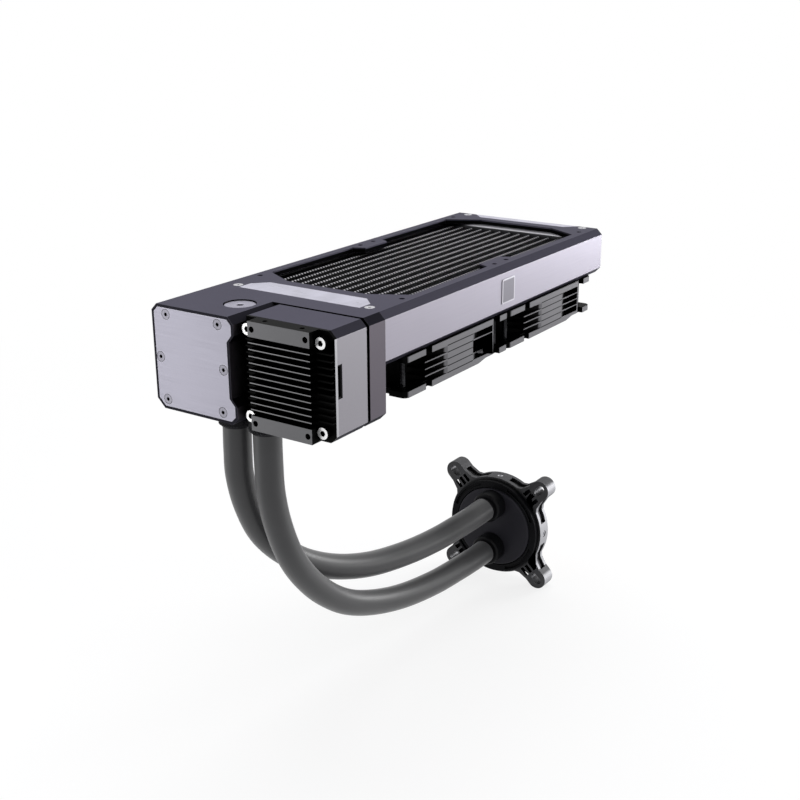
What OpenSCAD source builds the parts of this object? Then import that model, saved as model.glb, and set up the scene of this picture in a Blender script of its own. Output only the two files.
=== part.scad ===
// Liquid cooler: a finned radiator with a reservoir and a pump at one end, two square
// fans below it, and two hoses that lead to a round water block with a four-arm bracket.
// Millimetres. The origin is the centre of the bolt pattern in the radiator's top face.
// +X runs from the pump end to the far end, +Y is across, +Z is up.

/* [Radiator casing] */
// Side length of each square fan, which also spaces the bolt pattern
fan_w = 120; // [119:0.5:121]
// Distance from a fan's edge to its hole centres
fan_hole_edge = 7.5; // [7:0.25:8]
// Radius of the mounting holes in the top face
bolt_r = 1.75; // [1.5:0.05:2.1]
// How far the radiator stands out beside the fans, on each side
rad_margin = 2; // [1.5:0.25:4]
// Thickness of the radiator without its fans
rad_t = 32; // [31:0.5:36]
// Length of the radiator past the near fan, up to the manifold
near_margin = 23; // [21:0.5:26]
// Length of the radiator past the far fan
far_margin = 11; // [10:0.5:16]
// Size of the bevel along the long edges
edge_bevel = 4; // [3:0.25:4.5]
// Thickness of the top lip round the window
lip_t = 3.5; // [3:0.25:4]
// Thickness of the floor that the fans bolt to
floor_t = 2.5; // [2:0.25:3]
// Thickness of the casing's side walls
side_wall = 2.8; // [2.2:0.1:3.4]
// Thickness of the casing's far wall
end_wall = 4; // [3:0.5:5]
// Thickness of the bright side panels
panel_t = 1.2; // [0.8:0.1:1.5]
// Side length of the square plate on the front panel
badge_w = 16; // [14:0.5:18]
// Distance from the origin to the centre of the square plate, towards the pump
badge_x = 6; // [4:0.5:8]
// Thickness of the square plate
badge_t = 0.5; // [0.3:0.1:0.8]

/* [Window in the top face] */
// Distance from each end of the window to the fans' outer edges
window_end = 5; // [4:0.5:7]
// Width of the top face beside the window, on each side
window_edge = 9.5; // [9:0.25:12]
// Length of the window's corner cut
window_cut_l = 13; // [12:0.5:14]
// Width of the window's corner cut
window_cut_w = 23.5; // [22:0.5:26]
// Length of each bolt tab at its tip
tab_l = 25; // [23:0.5:28]
// How far each bolt tab reaches into the window
tab_reach = 8; // [7:0.25:9]
// How much wider a tab is at each side of its root
tab_flare = 4.5; // [3:0.25:6]

/* [Radiator core] */
// Depth of the tubes below the top face
core_drop = 5.1; // [5:0.1:5.8]
// Height of the tubes
core_h = 22; // [20:0.5:23]
// Thickness of each flat tube
tube_t = 2; // [1.6:0.1:2.6]
// Room beside the outer fins for the side plate
core_side_gap = 2; // [1.9:0.05:2.6]
// Number of flat tubes
tube_count = 13; // [11:1:13]
// Length of the far tank
tank_l = 21; // [19:0.5:22]
// Radius of the tanks' inner top edge
tank_round = 5; // [4:0.5:6]
// Length of one full fold of the fins
fin_fold = 6; // [5:0.5:8]
// Thickness of the fin strip, measured across the core
fin_t = 0.7; // [0.5:0.05:1]
// Distance that the fins stay below the tubes' edges
fin_drop = 0.5; // [0.3:0.1:1]
// Thickness of the plates beside the core
core_plate_t = 1.5; // [1:0.1:1.8]

/* [Accent plates] */
// Distance from the near accent plate to the joint with the manifold
accent_near_gap = 1; // [0.5:0.1:1.5]
// Length of the near plate
accent_near_l = 19; // [16:0.5:20]
// Distance from the near accent plate to the sides of the radiator
accent_near_edge = 18; // [17:0.5:22]
// Size of the near plate's corner cuts
accent_cut = 8.5; // [6:0.5:10]
// Length of the far plate
accent_far_l = 8; // [6:0.5:9]
// Distance from the far accent plate to the sides of the radiator
accent_far_edge = 27; // [25:0.5:30]
// Depth of the plates' recess
accent_t = 0.8; // [0.5:0.1:1.2]
// Head radius of the screws beside the plates
accent_screw_r = 3; // [2.6:0.1:3.2]
// Gap between the near plate's side and the screws beside it
accent_screw_gap = 1; // [0.5:0.1:1.5]
// Distance from the near plate's outer edge to the screws' axis
accent_screw_x = 4; // [3.5:0.25:5]

/* [Manifold and reservoir] */
// Length of the manifold along X
manifold_l = 15; // [14:0.5:17]
// Height of the manifold, the reservoir and the pump
block_h = 62.3; // [61.5:0.1:64]
// Length of the reservoir in front of the manifold
reservoir_l = 38.5; // [37:0.5:39.5]
// Bevel along the reservoir's lower outer edge
foot_bevel = 5.5; // [4:0.25:6]
// Distance from the pump unit to the reservoir's upper lobe
lobe_gap = 3.1; // [2.6:0.1:3.8]
// Distance from the pump unit to the reservoir's waist
waist_gap = 6.6; // [6:0.1:7.2]
// Distance from the pump unit to the reservoir's foot
foot_gap = 2.8; // [2.5:0.1:3.5]
// Height of the lobe at the top of the inner face
lobe_h = 10.4; // [9.5:0.1:11.5]
// Height of the foot at the bottom of the inner face
foot_h = 10.8; // [9.5:0.1:11.5]
// Height of each slanted step beside the waist
step_h = 4.3; // [3.5:0.1:5.5]
// Size of the bevels beside the pump unit
inner_bevel = 4; // [3:0.25:4.5]
// Thickness of the bright cover plate
cover_t = 1.5; // [1.2:0.1:2]
// Thickness of the seal behind the cover
cover_seal_t = 0.5; // [0.3:0.1:0.8]
// How far the seal stays inside the cover's outline
seal_inset = 0.5; // [0.3:0.1:1]
// Width of the dark rim left round the cover
cover_rim = 1.7; // [1.2:0.1:2]
// Wall round the reservoir's chamber
chamber_wall = 9; // [8.6:0.1:10]
// Depth of the reservoir's chamber
chamber_l = 27; // [24:0.5:28]
// Distance from the cover's face to the filler's axis
filler_x = 25.5; // [24:0.5:26]
// Distance from the reservoir's upper lobe to the filler's centre
filler_in = 16.9; // [16.9:0.1:28]
// Radius of the filler plug's disc
filler_r = 9; // [8.4:0.1:9.6]
// Gap round the filler plug's disc
filler_gap = 0.5; // [0.3:0.1:0.8]
// How far the disc lies below the top face
filler_sink = 0.7; // [0.4:0.1:1]
// Radius of the filler's thread
filler_thread_r = 6.5; // [5:0.25:6.5]
// Depth of the filler's recess
filler_drop = 1.9; // [1.7:0.1:2.2]

/* [Pump unit] */
// Width of the pump unit
pump_w = 60; // [59:0.5:61]
// Length of the pump housing
pump_l = 26.5; // [25:0.5:28]
// Thickness of the black spacer behind the pump housing
spacer_t = 2.5; // [2:0.25:3]
// How far the spacer stays inside the housing's outline
spacer_inset = 1.5; // [1:0.1:1.7]
// Thickness of the heatsink's base
sink_base_t = 2; // [1.6:0.1:3]
// How far the heatsink's middle stands out of its base
sink_reach = 8; // [7:0.5:9]
// How far the fins beside the middle stand out of the base
sink_side_reach = 2.5; // [1.5:0.25:3.5]
// Distance from the screws' centres to the heatsink's strips and fins
sink_side = 4; // [3.8:0.1:4.5]
// Height of the strips above and below the fins
strip_h = 8.7; // [8:0.1:9]
// Number of cooling fins
sink_fin_count = 11; // [9:1:11]
// Gap between each strip and the centre of the next fin
sink_fin_gap = 3.45; // [3.3:0.05:4]
// Thickness of each cooling fin
sink_fin_t = 0.9; // [0.7:0.05:1.2]
// Distance from the strips' ends to their holes
strip_hole_edge = 2.8; // [2.4:0.1:3.2]
// Distance from the strips' ends to the holes in their edge
edge_hole_in = 8.3; // [7.8:0.1:9]
// Radius of the holes in the strips
strip_hole_r = 1.7; // [1.4:0.05:1.8]
// Distance from the top and bottom of the pump unit to its screws
pump_screw_drop = 6.15; // [5.9:0.05:6.4]
// Distance from the pump panel's side to the screws next to it
pump_screw_far = 6.5; // [6.3:0.1:7]
// Distance from the pump unit's inner side to the nearest screws
pump_screw_edge = 3.5; // [3.3:0.1:4.5]
// Head radius of the pump screws
pump_head_r = 3.4; // [3:0.05:3.5]
// Head length of the pump screws
pump_head_l = 4; // [3:0.1:4.5]
// Height of the socket opening in the side panel
socket_h = 19; // [17:0.5:21]
// Length of the socket opening
socket_l = 4; // [3:0.25:4.5]
// Radius of the pump's rotor
rotor_r = 8; // [7.5:0.1:8.4]
// Running gap round the pump's rotor and impeller
wet_gap = 0.8; // [0.5:0.1:1]
// Radius of the impeller
impeller_r = 14.5; // [13.5:0.1:15]
// Number of impeller vanes
vane_count = 6; // [5:1:7]
// Radius of the pump's shaft
pump_shaft_r = 1.5; // [1.3:0.05:1.8]

/* [Fans] */
// Thickness of each fan
fan_t = 25.2; // [24.5:0.1:26]
// Radius of the fan's corners
fan_corner_r = 4; // [3.5:0.25:5]
// Thickness of the fan's flanges
flange_t = 4; // [3.5:0.1:4.4]
// Distance from a fan's edge to its throat
throat_edge = 2.1; // [1.8:0.1:2.4]
// Wall of the barrel round the throat
barrel_wall = 3.9; // [3.8:0.1:4.1]
// Open length at each end of a fan's side
corner_l = 20; // [19:0.5:21]
// Number of ribs on each side of a fan
rib_count = 3; // [2:1:4]
// Thickness of each rib
rib_t = 0.9; // [0.7:0.05:1.2]
// Depth of the cut-outs in the flanges' edges
notch_d = 3; // [2.5:0.25:3.4]
// Height of the step under the lower flange, beside each post
flange_step = 1.6; // [1:0.1:2]
// How far the struts and the motor lie below the fan's top face
strut_drop = 0.6; // [0.5:0.1:1]
// Radius of the corner holes
fan_hole_r = 2.15; // [2:0.05:2.3]
// Gap between a blade's tip and the throat
tip_gap = 1; // [0.8:0.1:1.4]
// Radius of the fan's hub
hub_r = 20; // [19:0.5:21]
// Wall of the fan's hub
hub_wall = 2.5; // [2:0.25:3]
// Number of blades
blade_count = 9; // [7:1:11]
// Thickness of the blades
blade_t = 1.6; // [1.2:0.1:2]
// Blade chord at the hub
root_chord = 20; // [18:0.5:21]
// Blade chord at the tip
tip_chord = 33; // [30:0.5:34]
// Blade angle at the hub
root_angle = 42; // [38:1:44]
// Blade angle at the tip
tip_angle = 24; // [20:1:25]
// Width of the struts that hold the fan's motor
strut_w = 3.5; // [3:0.25:5]
// Radius of the fan's shaft
fan_shaft_r = 1.5; // [1.3:0.05:1.8]
// Radius of the long screws through the fans
fan_screw_r = 1.6; // [1.4:0.05:1.7]

/* [Hoses and fittings] */
// Outer diameter of the hoses
hose_d = 17.5; // [16:0.25:18]
// Radius of the knurled collars
collar_r = 11.2; // [10.8:0.1:11.6]
// Length of the collars
collar_l = 17.7; // [16.5:0.1:18]
// Length of the collars' plain band
collar_band_l = 12.5; // [11:0.5:13]
// Number of ridges round a collar
knurl_count = 36; // [30:1:40]
// Depth of the ridges
knurl_d = 0.6; // [0.4:0.05:0.8]
// Radius of the threaded neck in the manifold
neck_r = 6.5; // [6:0.1:6.5]
// Length of the threaded neck
neck_l = 8; // [7:0.25:8.5]

/* [Water block] */
// Distance between the centres of the bracket's slots, along each side of their square
bracket_pitch = 73; // [72:0.5:77]
// Thickness of the bracket
bracket_t = 12; // [11:0.5:13]
// Width of the bracket's ring round its bore
bracket_wall = 4.4; // [3.9:0.1:5.6]
// Inner radius of the bracket's ring
bracket_bore_r = 34.6; // [34:0.2:35.4]
// Half width of each arm, which is the radius of its round tip
arm_r = 7.6; // [7.2:0.1:8.2]
// Width of the slotted holes
slot_w = 5.4; // [4.6:0.1:5.8]
// Length of the slotted holes
slot_l = 9.4; // [8.4:0.1:9.8]
// Depth of the pockets in the arms
pocket_d = 3; // [2:0.25:5]
// Height of the windows in the bracket's edge
edge_slot_h = 6.5; // [5:0.25:7]
// Depth of the windows in the bracket's edge
edge_slot_d = 2.7; // [2:0.1:2.8]
// How much smaller than the bracket's bore the cap is
cap_inset = 3.6; // [3.3:0.1:4.4]
// How far the cap stands out of the bracket's face
cap_stand = 5; // [4:0.25:6]
// Radius of the cap's rounded edge
cap_round = 1.5; // [1:0.25:2]
// Gap between the cap and the clamp ring
cap_gap = 0.6; // [0.3:0.1:0.9]
// How far the clamp ring laps over the bracket
clamp_lap = 2.4; // [1.9:0.1:3]
// How far the clamp ring stands out of the bracket's face
clamp_stand = 4; // [3:0.25:4.5]
// Radius of the ports
port_r = 11.3; // [10.5:0.1:11.8]
// Side length of the cold plate
plate_w = 52; // [48:1:56]
// Thickness of the cold plate
plate_t = 5; // [4:0.5:6]
// Corner radius of the cold plate
plate_corner_r = 6; // [4:0.5:8]

/* [Hidden] */
$fn = 64;

// Clearance between a screw and its hole, and between pieces that slide together
fit = 0.05;
// Length added to a cutter so that it passes its face
over = 1;
// Ratio that keeps a 45 degree corner true when an outline is drawn in
inset_k = tan(22.5);

fan_hole_pitch = fan_w - 2 * fan_hole_edge;
hole_half = fan_hole_pitch / 2;
fan_x = fan_w / 2;
rad_w = fan_w + 2 * rad_margin;
near_len = fan_w + near_margin;
far_len = fan_w + far_margin;
window_l = 2 * (fan_w - window_end);
window_w = rad_w - 2 * window_edge;
accent_near_x = near_len - accent_near_gap;
accent_near_w = rad_w - 2 * accent_near_edge;
accent_far_w = rad_w - 2 * accent_far_edge;
bolt_xs = [-fan_x - hole_half, -fan_x + hole_half, fan_x - hole_half, fan_x + hole_half];
cavity_w = rad_w - 2 * panel_t - 2 * side_wall;
core_half = far_len - end_wall - tank_l;
core_bottom = -core_drop - core_h;
tube_pitch = (cavity_w - 2 * core_side_gap) / (tube_count + 1);
tubes_w = (tube_count - 1) * tube_pitch;
fin_gap = tube_pitch - tube_t;
tank_h = rad_t - lip_t - floor_t;

manifold_x1 = -near_len;
manifold_x0 = manifold_x1 - manifold_l;
reservoir_x0 = manifold_x0 - reservoir_l;
cover_x0 = reservoir_x0;
seal_x0 = cover_x0 + cover_t;
seat_x = seal_x0 + cover_seal_t;
wall_y = rad_w / 2;
pump_y0 = -wall_y;
pump_y1 = pump_y0 + pump_w;
lobe_y = pump_y1 + lobe_gap;
waist_y = pump_y1 + waist_gap;
foot_y = pump_y1 + foot_gap;
filler_y = lobe_y + filler_in;
fill_x = cover_x0 + filler_x;

pump_x1 = manifold_x0 - spacer_t;
pump_x0 = pump_x1 - pump_l;
sink_x0 = pump_x0 - sink_base_t;
strip_x0 = sink_x0 - sink_reach;
pump_y = (pump_y0 + pump_y1) / 2;
pump_z = -block_h / 2;
screw_pitch_y = pump_w - pump_screw_edge - pump_screw_far;
screw_pitch_z = block_h - 2 * pump_screw_drop;
sink_y = pump_y1 - pump_screw_edge - screw_pitch_y / 2;
sink_w = screw_pitch_y - 2 * sink_side;
strip_hole_pitch = sink_w - 2 * strip_hole_edge;
edge_hole_pitch = sink_w - 2 * edge_hole_in;
sink_fin_pitch = (block_h - 2 * strip_h - 2 * sink_fin_gap) / (sink_fin_count - 1);
socket_z = pump_z + 3;
// Wall of the pump's housing beside the motor
motor_wall = 9.5;
well_r = rotor_r + wet_gap;
can_r = well_r + 1.2;
motor_r = pump_w / 2 - motor_wall;
impeller_x = manifold_x0 - spacer_t + wet_gap;
volute_r = impeller_r + 1.5;
volute_l = 8;
pump_screw_r = 1.6;
// How far the pump screws reach into the manifold
pump_screw_bite = 8;
// The board and the stator behind the pump's cover
board_x0 = pump_x0 + 2.4;
stator_x0 = pump_x0 + 4;
stator_x1 = pump_x1 - 7;
cover_screw_r = 1.5;
cover_screw_l = 9;
cover_head_r = 2.9;
cover_head_l = 1.1;
// Part of the cover screws' heads that stands straight, with a gap round it
head_rim = 0.4;
head_gap = 0.25;
filler_seal_t = 0.4;
// The cover screws' distances from the outer wall and from the inner edge, top to bottom
screw_in = [10.8, 4.9, 8.3];
screw_out = [11.4, 5.1, 10.9];
screw_down = 5.5;
screw_up = 6;
// Depth of the blind holes past the ends of their screws
blind_gap = 1;

throat_r = fan_w / 2 - throat_edge;
barrel_r = throat_r + barrel_wall;
rib_half = fan_w / 2 - corner_l;
fan_z = -rad_t;
fan_z0 = fan_z - fan_t;
rotor_z1 = fan_z - flange_t - 0.8;
rotor_z0 = fan_z0 + 1;
shaft_z1 = fan_z - 2.2;
post_w = 1.4;
post_d = 16;
// Where the step under the lower flange starts, and the length of its slope
step_in = 18;
step_run = 9;
fan_head_l = 2;
fan_head_r = 3;
shaft_gap = 0.05;
blade_r = throat_r - tip_gap;
hub_sink = 1;

// The hoses' chosen end points place the fittings, the ports and the water block
port_x = -158;
outer_port_y = 36.5;
inner_port_y = 13;
port_z = -block_h;
collar_foot = 1.5;

port_pitch = 35.5;
// How far the ports sit above the middle of the cap
port_rise = 1.6;
port_x0 = 62.5;
block_x = 80;
block_y = -8.3;
block_z = -227;
cap_x0 = block_x - cap_stand;
hose_r = hose_d / 2;
bracket_x1 = block_x + bracket_t;
bracket_r = bracket_bore_r + bracket_wall;
cap_r = bracket_bore_r - cap_inset;
clamp_r = bracket_bore_r + clamp_lap;
hole_ring_r = bracket_pitch / sqrt(2);
plate_x0 = bracket_x1 - 2;
// Where the cold plate's screws stand in from its sides
plate_hole_edge = 5;
// Half the angle of each slot in the clamp ring, and of each screw pad on the bracket's edge
ring_slot_half = 26;
ring_slot_wall = 1.6;
pad_half = 13;

// Hose routes: points chosen along the centre of each hose, from the collar to the port
outer_route = [[-158, 36.5, -80], [-158.5, 36.5, -96], [-158, 36.5, -113], [-153, 36, -134],
    [-143, 34.5, -156], [-128, 31.5, -174], [-108, 27, -190], [-82, 21.5, -203],
    [-52, 15.5, -211.8], [-20, 9, -215.4], [10, 3, -215.4], [34, -3, -212],
    [48, -6.3, -209.6], [62.5, -8.3, -207.65]];
inner_route = [[-158, 13, -80], [-158, 13, -99], [-157, 13, -120], [-152.5, 12.5, -142],
    [-143.5, 11.5, -166], [-130, 10.5, -187], [-112, 9, -206], [-90, 7, -221.8],
    [-62, 4.5, -233.6], [-32, 1, -240.8], [0, -3, -243.8], [27, -6, -243.8],
    [46, -7.8, -243.4], [62.5, -8.3, -243.15]];
hose_sides = 12;
hose_steps = 2;

// Draws a flat outline of Y and Z and extrudes it along X
module along_x(x0, x1) {
    translate([x0, 0, 0]) rotate([90, 0, 90]) linear_extrude(x1 - x0) children();
}

// Draws a flat outline of X and Z and extrudes it along Y
module along_y(y0, y1) {
    translate([0, y1, 0]) rotate([90, 0, 0]) linear_extrude(y1 - y0) children();
}

module x_cylinder(x0, x1, r, r2 = undef) {
    translate([x0, 0, 0]) rotate([0, 90, 0])
        cylinder(h = x1 - x0, r1 = r, r2 = is_undef(r2) ? r : r2);
}

module y_cylinder(y0, y1, r) {
    translate([0, y1, 0]) rotate([90, 0, 0]) cylinder(h = y1 - y0, r = r);
}

module z_cylinder(z0, z1, r, r2 = undef) {
    translate([0, 0, z0]) cylinder(h = z1 - z0, r1 = r, r2 = is_undef(r2) ? r : r2);
}

module box(x, y, z) {
    translate([x[0], y[0], z[0]]) cube([x[1] - x[0], y[1] - y[0], z[1] - z[0]]);
}

module rounded_square(w, h, r) {
    square([w - 2 * r, h], center = true);
    square([w, h - 2 * r], center = true);
    for (sx = [-1, 1], sy = [-1, 1])
        translate([sx * (w / 2 - r), sy * (h / 2 - r)]) circle(r = r);
}

// A hexagonal socket's outline for a key of the given width
module hex_key(width) {
    circle(r = width / sqrt(3), $fn = 6);
}

// Section across the radiator and the manifold, with 45 degree bevels along both long sides
module body_section(h) {
    polygon([[-wall_y + edge_bevel, 0], [wall_y - edge_bevel, 0], [wall_y, -edge_bevel],
        [wall_y, -h + edge_bevel], [wall_y - edge_bevel, -h], [-wall_y + edge_bevel, -h],
        [-wall_y, -h + edge_bevel], [-wall_y, -edge_bevel]]);
}

module side_recess(side, x0, x1, h) {
    y0 = side > 0 ? wall_y - panel_t : -wall_y - over;
    y1 = side > 0 ? wall_y + over : -wall_y + panel_t;
    box([x0 - over, x1 + over], [y0, y1], [-h + edge_bevel, -edge_bevel]);
}

module window_outline() {
    wl = window_l / 2;
    ww = window_w / 2;
    difference() {
        polygon([[-wl, -ww + window_cut_w], [-wl + window_cut_l, -ww],
            [wl - window_cut_l, -ww], [wl, -ww + window_cut_w],
            [wl, ww - window_cut_w], [wl - window_cut_l, ww],
            [-wl + window_cut_l, ww], [-wl, ww - window_cut_w]]);
        for (side = [-1, 1])
            polygon([[-tab_l / 2, side * (ww - tab_reach)], [tab_l / 2, side * (ww - tab_reach)],
                [tab_l / 2 + tab_flare, side * (ww + over)],
                [-tab_l / 2 - tab_flare, side * (ww + over)]]);
    }
}

module at_bolts(xs) {
    for (x = xs, side = [-1, 1]) translate([x, side * hole_half, 0]) children();
}

module accent_near_outline() {
    x1 = -accent_near_x + accent_near_l;
    hw = accent_near_w / 2;
    polygon([[-accent_near_x, -hw], [x1 - accent_cut, -hw], [x1, -hw + accent_cut],
        [x1, hw - accent_cut], [x1 - accent_cut, hw], [-accent_near_x, hw]]);
}

module accent_far_outline() {
    x0 = far_len - accent_far_l;
    hw = accent_far_w / 2;
    polygon([[x0, -hw], [far_len, -hw - accent_far_l], [far_len, hw + accent_far_l], [x0, hw]]);
}

module at_accent_screws() {
    y = accent_near_w / 2 + accent_screw_gap + accent_screw_r;
    for (x = [-accent_near_x + accent_screw_x, far_len - accent_far_l / 2], side = [-1, 1])
        translate([x, side * y, 0]) children();
}

// Casing with its window, bolt tabs, fan throats and panel recesses
module casing() {
    color([0.32, 0.31, 0.36]) difference() {
        along_x(-near_len, far_len) body_section(rad_t);
        for (side = [-1, 1]) side_recess(side, -near_len, far_len, rad_t);
        box([-near_len - over, far_len - end_wall], [-cavity_w / 2, cavity_w / 2],
            [-rad_t + floor_t, -lip_t]);
        translate([0, 0, -lip_t - over]) linear_extrude(lip_t + 2 * over) window_outline();
        for (x = [-fan_x, fan_x])
            translate([x, 0, 0]) z_cylinder(-rad_t - over, -rad_t + floor_t + over, throat_r, $fn = 96);
        at_bolts(bolt_xs) z_cylinder(-lip_t - over, over, bolt_r);
        at_bolts(bolt_xs) z_cylinder(-rad_t - over, -rad_t + floor_t + over, fan_screw_r + fit);
        translate([0, 0, -accent_t]) linear_extrude(accent_t + over) accent_near_outline();
        translate([0, 0, -accent_t]) linear_extrude(accent_t + over) accent_far_outline();
        at_accent_screws() z_cylinder(-accent_t, over, accent_screw_r + fit);
        at_accent_screws() z_cylinder(-lip_t - over, over, 1 + fit);
    }
}

module side_panel(side) {
    y0 = side > 0 ? wall_y - panel_t : -wall_y;
    box([-near_len, far_len], [y0, y0 + panel_t], [-rad_t + edge_bevel, -edge_bevel]);
}

module panel_front() {
    color([0.80, 0.79, 0.84]) side_panel(-1);
}

module panel_back() {
    color([0.80, 0.79, 0.84]) side_panel(1);
}

module badge_plate() {
    color([0.55, 0.54, 0.60]) translate([-badge_x, 0, -rad_t / 2]) along_y(-wall_y - badge_t, -wall_y)
        rounded_square(badge_w, badge_w, 1);
}

// Tank outline along X: a box whose inner top edge is rounded
module tank_outline(x_end, x_core) {
    way = x_core > x_end ? 1 : -1;
    z1 = -lip_t;
    z0 = -lip_t - tank_h;
    polygon([[x_end, z0], [x_core, z0], [x_core, z1 - tank_round],
        for (a = [15:15:75]) [x_core - way * tank_round * (1 - cos(a)), z1 - tank_round * (1 - sin(a))],
        [x_core - way * tank_round, z1], [x_end, z1]]);
}

module near_tank() {
    color([0.12, 0.12, 0.13]) along_y(-cavity_w / 2, cavity_w / 2)
        tank_outline(-near_len, -core_half);
}

module far_tank() {
    color([0.12, 0.12, 0.13]) along_y(-cavity_w / 2, cavity_w / 2)
        tank_outline(far_len - end_wall, core_half);
}

module tube_section() {
    translate([-tube_t / 2, core_bottom + tube_t / 2]) square([tube_t, core_h - tube_t]);
    for (z = [core_bottom + tube_t / 2, -core_drop - tube_t / 2]) translate([0, z]) circle(r = tube_t / 2);
}

module core_tubes() {
    color([0.35, 0.35, 0.37]) for (i = [0:tube_count - 1])
        translate([0, i * tube_pitch - tubes_w / 2, 0]) along_x(-core_half, core_half) tube_section();
}

// One folded strip: a zigzag ribbon that fills the gap between two tubes
module fin_strip(depth) {
    folds = floor((2 * core_half - 1) / fin_fold) * 2;
    x0 = -folds * fin_fold / 4;
    out = [for (i = [0:folds]) [x0 + i * fin_fold / 2, (i % 2) * (depth - fin_t)]];
    back = [for (i = [folds:-1:0]) [x0 + i * fin_fold / 2, (i % 2) * (depth - fin_t) + fin_t]];
    polygon(concat(out, back));
}

module core_fins() {
    color([0.14, 0.14, 0.15]) for (i = [0:tube_count])
        translate([0, i * tube_pitch - tubes_w / 2 - tube_pitch + tube_t / 2 + fit, core_bottom + fin_drop])
            linear_extrude(core_h - 2 * fin_drop) fin_strip(fin_gap - 2 * fit);
}

module core_plates() {
    y0 = tubes_w / 2 + tube_t / 2 + fin_gap;
    color([0.12, 0.12, 0.13]) for (side = [-1, 1])
        box([-core_half, core_half], side > 0 ? [y0, y0 + core_plate_t] : [-y0 - core_plate_t, -y0],
            [core_bottom, -core_drop]);
}

module accent_near() {
    color([0.86, 0.85, 0.93]) translate([0, 0, -accent_t]) linear_extrude(accent_t)
        accent_near_outline();
}

module accent_far() {
    color([0.86, 0.85, 0.93]) translate([0, 0, -accent_t]) linear_extrude(accent_t)
        accent_far_outline();
}

module accent_screws() {
    color([0.7, 0.7, 0.72]) at_accent_screws() difference() {
        union() {
            z_cylinder(-accent_t, 0, accent_screw_r);
            z_cylinder(-lip_t, -accent_t, 1);
        }
        translate([0, 0, -lip_t / 2]) linear_extrude(lip_t) hex_key(1.6);
    }
}

// Outline of the reservoir seen along X, drawn in by i
module reservoir_outline(i) {
    k = inset_k * i;
    b = inner_bevel;
    polygon([[wall_y - edge_bevel - k, -i], [wall_y - i, -edge_bevel - k],
        [wall_y - i, -block_h + foot_bevel + k], [wall_y - foot_bevel - k, -block_h + i],
        [foot_y + b + k, -block_h + i], [foot_y + i, -block_h + b + k],
        [foot_y + i, -block_h + foot_h], [waist_y + i, -block_h + foot_h + step_h],
        [waist_y + i, -lobe_h - step_h], [lobe_y + i, -lobe_h],
        [lobe_y + i, -b - k], [lobe_y + b + k, -i]]);
}

module chamber(x0, x1) {
    box([x0, x1], [waist_y + chamber_wall, wall_y - chamber_wall],
        [-block_h + chamber_wall, -chamber_wall]);
}

module at_cover_screws() {
    low = block_h - screw_up;
    middle = block_h / 2;
    for (p = [[wall_y - screw_in[0], -screw_down], [lobe_y + screw_out[0], -screw_down],
        [wall_y - screw_in[1], -middle], [waist_y + screw_out[1], -middle],
        [wall_y - screw_in[2], -low], [foot_y + screw_out[2], -low]])
        translate([0, p[0], p[1]]) children();
}

module at_pump_screws() {
    for (sy = [-1, 1], sz = [-1, 1])
        translate([0, sink_y + sy * screw_pitch_y / 2, pump_z + sz * screw_pitch_z / 2]) children();
}

module at_manifold_ports() {
    for (y = [outer_port_y, inner_port_y]) translate([port_x, y, port_z]) children();
}

// One machined block: the full-width manifold and the reservoir in front of it
module manifold() {
    color([0.30, 0.29, 0.33]) difference() {
        union() {
            along_x(manifold_x0, manifold_x1) body_section(block_h);
            along_x(reservoir_x0, manifold_x0) reservoir_outline(0);
        }
        along_x(reservoir_x0 - over, seat_x) reservoir_outline(cover_rim);
        chamber(reservoir_x0, reservoir_x0 + chamber_l);
        translate([fill_x, filler_y, 0]) {
            z_cylinder(-filler_drop, over, filler_r + filler_gap);
            z_cylinder(-chamber_wall - over, over, filler_thread_r + fit);
        }
        at_manifold_ports() z_cylinder(-over, neck_l + 0.5, neck_r + fit);
        at_cover_screws() x_cylinder(cover_x0, cover_x0 + cover_screw_l + over, cover_screw_r + fit);
        at_pump_screws()
            x_cylinder(manifold_x0 - over, manifold_x0 + pump_screw_bite + blind_gap, pump_screw_r + fit);
        translate([0, pump_y, pump_z]) {
            x_cylinder(manifold_x0 - over, manifold_x0 + volute_l, volute_r);
            x_cylinder(manifold_x0, manifold_x0 + volute_l + 2, pump_shaft_r + fit);
        }
    }
}

module cover_seal() {
    color([0.05, 0.05, 0.05]) difference() {
        along_x(seal_x0, seat_x) reservoir_outline(cover_rim + seal_inset);
        chamber(seal_x0 - over, seat_x + over);
        at_cover_screws() x_cylinder(seal_x0 - over, seat_x + over, cover_screw_r + fit);
    }
}

module cover_plate() {
    color([0.72, 0.71, 0.76]) difference() {
        along_x(cover_x0, seal_x0) reservoir_outline(cover_rim + fit);
        at_cover_screws() {
            x_cylinder(cover_x0 - over, seal_x0 + over, cover_screw_r + fit);
            x_cylinder(cover_x0 - over, cover_x0 + head_rim, cover_head_r + head_gap);
            x_cylinder(cover_x0 + head_rim - 0.01, cover_x0 + cover_head_l,
                cover_head_r + fit, cover_screw_r + fit);
        }
    }
}

module cover_screws() {
    color([0.75, 0.75, 0.78]) at_cover_screws() difference() {
        union() {
            x_cylinder(cover_x0, cover_x0 + head_rim, cover_head_r);
            x_cylinder(cover_x0 + head_rim, cover_x0 + cover_head_l, cover_head_r, cover_screw_r);
            x_cylinder(cover_x0 + cover_head_l, cover_x0 + cover_screw_l, cover_screw_r);
        }
        along_x(cover_x0 - over, cover_x0 + 1.6) hex_key(2);
    }
}

module filler_plug() {
    color([0.78, 0.77, 0.82]) translate([fill_x, filler_y, 0]) difference() {
        union() {
            z_cylinder(-filler_drop + filler_seal_t, -filler_sink, filler_r);
            z_cylinder(-chamber_wall + 1, -filler_drop + filler_seal_t, filler_thread_r);
        }
        translate([0, 0, -filler_sink - 3]) linear_extrude(3 + over) hex_key(3.9);
    }
}

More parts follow.
